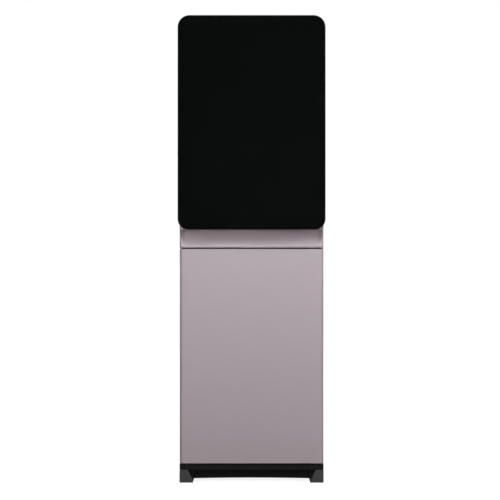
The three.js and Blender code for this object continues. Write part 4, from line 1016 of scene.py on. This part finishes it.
def makeBottlePads(pads):
    x0, x1, y0, y1, z0, _ = span("bottle_tray")
    x, y, z, circle = (x0 + x1) / 2, (y0 + y1) / 2, z0 + pads["floor"], pads["circle"]
    turns = [2 * math.pi * (i + 0.5) / pads["count"] for i in range(pads["count"])]
    centres = [(x + circle * math.cos(turn), y + circle * math.sin(turn), z) for turn in turns]
    profile = [(pads["radius"], closeGap)]
    profile += [(pads["radius"] - inset, pads["height"] * share) for inset, share in pads["edge"]]
    addPiece("bottlePads", "cabinet", "rubber", turned(profile, centres, "z"), sharp=pads["sharp"])


makeBottlePads(bottlePads)
print("bay trimmed")


# Back: condenser, louvres and screws
condenser = {
    "behind": 10,            # tube's axis in front of the bracket's rear face
    "passes": 10, "pitch": 41, "half": 125, "returnX": 145, "bend": 8, "radius": 2.5,
    "thinner": 0.02,         # than the solid's radius
    "leadX": -50, "leadY": 140.5, "lineY": 152.2,
    "entryUp": 105,          # above the first pass, where the return goes inside
    "drierY": 140.9, "drierTop": 707.6,
    "wires": 20, "wirePitch": 12, "wireRadius": 0.9, "wireGap": 0.3,
    "crossOver": 1.8,        # cross wires past the outermost wires
}


def makeCoil(coil, y):
    low, high = span("condenser_tube")[4:]
    first, last = low + coil["radius"], high - coil["radius"]
    x, half, pitch = coil["returnX"], coil["half"], coil["pitch"]
    leadX, lineY = coil["leadX"], coil["lineY"]
    corners = [(leadX, coil["leadY"], first), (leadX, lineY, first), (-x, lineY, first), (-x, y, first)]
    for i in range(coil["passes"] + 1):
        end = half if i % 2 == 0 else -half
        if i > 0:
            corners.append((-end, y, first + i * pitch))
        if i < coil["passes"]:
            corners.append((end, y, first + i * pitch))
    entry, drierY = first + coil["entryUp"], coil["drierY"]
    corners += [(x, y, last), (x, y, entry), (x, drierY, entry), (x, drierY, coil["drierTop"])]
    path, radius = filleted(corners, coil["bend"], filletSetup), coil["radius"] - coil["thinner"]
    addTube("condenserCoil", "cabinet", "enamel", [path], radius, ("condenser_tube",))


def makeWires(coil, y):
    bottom, top = span("condenser_wires")[4:]
    r = coil["wireRadius"]
    rows = [y + side * (coil["radius"] + coil["wireGap"] + r) for side in (-1, 1)]
    outermost = (coil["wires"] - 1) / 2
    places = [(i - outermost) * coil["wirePitch"] for i in range(coil["wires"])]
    reach = outermost * coil["wirePitch"] + coil["crossOver"]
    wires = [[(x, row, bottom), (x, row, top)] for row in rows for x in places]
    wires += [[(-reach, row, z), (reach, row, z)] for z in (bottom + r, top - r) for row in rows]
    addTube("condenserWires", "cabinet", "enamel", wires, r, ("condenser_wires",), 2)


tubeY = span("condenser_bracket_top")[3] - condenser["behind"]
makeCoil(condenser, tubeY)
makeWires(condenser, tubeY)

louvres = {
    "columns": (25, 95), "width": 52,
    "count": 7, "lowest": 398, "pitch": 12, "slot": 5,
    "roof": 2.2,             # over the slot, at the panel
    "ceiling": 0.8,          # underside of the roof there
    "proud": 2.4,
    "brow": (0.5, 1.8),      # behind the lip's front, above the slot's lower edge
    "lip": (0.8, 0.6),       # thickness and height above that edge
    "bevel": 0.15,
}


def makeLouvres(hoods):
    y = span("rear_panel")[3] + closeGap
    front = y + hoods["proud"]
    (browIn, browUp), (lipThick, lipUp) = hoods["brow"], hoods["lip"]
    points, faces = [], []
    for x in hoods["columns"]:
        for i in range(hoods["count"]):
            low = hoods["lowest"] + i * hoods["pitch"]
            top = low + hoods["slot"]
            section = [(y, top + hoods["roof"]), (front - browIn, low + browUp), (front, low + lipUp),
                       (front - lipThick, low + lipUp), (y, top + hoods["ceiling"])]
            k, n = len(points), len(section)
            for across in (x - hoods["width"] / 2, x + hoods["width"] / 2):
                points += [(across, *point) for point in section]
            faces += [(k + j, k + (j + 1) % n, k + n + (j + 1) % n, k + n + j) for j in range(n)]
            faces += [tuple(range(k, k + n)), tuple(range(k + n, k + 2 * n))]
    addPiece("louvreHoods", "cabinet", "zinc", (points, faces), hoods["bevel"])


makeLouvres(louvres)

screwForm = {
    "radius": 3.6, "height": 1.9,
    "head": ((1, 0), (0.98, 0.45), (0.84, 0.8), (0.6, 1)),  # shares of the radius and of the height
    "socket": 1.4, "socketDepth": 1.1,
    "socketEdge": (0.1, 0.15),  # chamfer: wider at the top, down
    "sharp": 50,
}
rearScrews = {
    "panelX": 164, "panelZ": (62, 262, 452, 700, 880, 1060),    # up both sides of the rear panel
    "rowX": (-90, 0, 90), "rowZ": (56, 1062),                   # along its lower and upper edge
    "coverX": (-120, 0, 120), "coverZ": 1085,
    "bracketX": (-136, -50, 50, 136), "bracketIn": 4.3, "bracketSheet": 0.8,
    "earth": (-92, 80),                                         # x and z
}


def screwHead(form, start):
    r, h, socket = form["radius"], form["height"], form["socket"]
    wider, down = form["socketEdge"]
    return [(r * across, start + h * up) for across, up in form["head"]] + [
        (socket + wider, start + h), (socket, start + h - down), (socket, start + h - form["socketDepth"])]


def makeScrews(form, places):
    panelY = span("rear_panel")[3]
    bracketY = span("condenser_bracket_top")[2] + places["bracketSheet"]
    centres = [(side * places["panelX"], panelY, z) for side in (-1, 1) for z in places["panelZ"]]
    centres += [(x, panelY, z) for x in places["rowX"] for z in places["rowZ"]]
    centres += [(x, span("top_cover")[3], places["coverZ"]) for x in places["coverX"]]
    for bracketZ in (span("condenser_bracket_top")[5] - places["bracketIn"],
                     span("condenser_bracket_bottom")[4] + places["bracketIn"]):
        centres += [(x, bracketY, bracketZ) for x in places["bracketX"]]
    centres.append((places["earth"][0], panelY, places["earth"][1]))
    addPiece("rearScrews", "cabinet", "screw", turned(screwHead(form, seatGap), centres), sharp=form["sharp"])


makeScrews(screwForm, rearScrews)
print("back finished")


# Inside: straps round the tanks
tankStraps = {
    "coldStraps": {"round": "cold_tank_foam", "heights": (790, 930)},
    "hotStraps": {"round": "hot_tank_jacket", "heights": (775, 910)},
}
strapForm = {"width": 12, "thickness": 0.9, "off": 0.1, "sides": 64, "sharp": 40}


def makeStraps(name, place, form):
    x0, x1, y0, y1, _, _ = span(place["round"])
    inner = (x1 - x0) / 2 + form["off"]
    outer, half = inner + form["thickness"], form["width"] / 2
    centres = [((x0 + x1) / 2, (y0 + y1) / 2, z) for z in place["heights"]]
    ring = [(inner, -half), (outer, -half), (outer, half), (inner, half)]
    shape = turned(ring, centres, "z", form["sides"], hollow=True)
    addPiece(name, "cabinet", "brushed", shape, sharp=form["sharp"])


for strapName, place in tankStraps.items():
    makeStraps(strapName, place, strapForm)
print("inside finished")
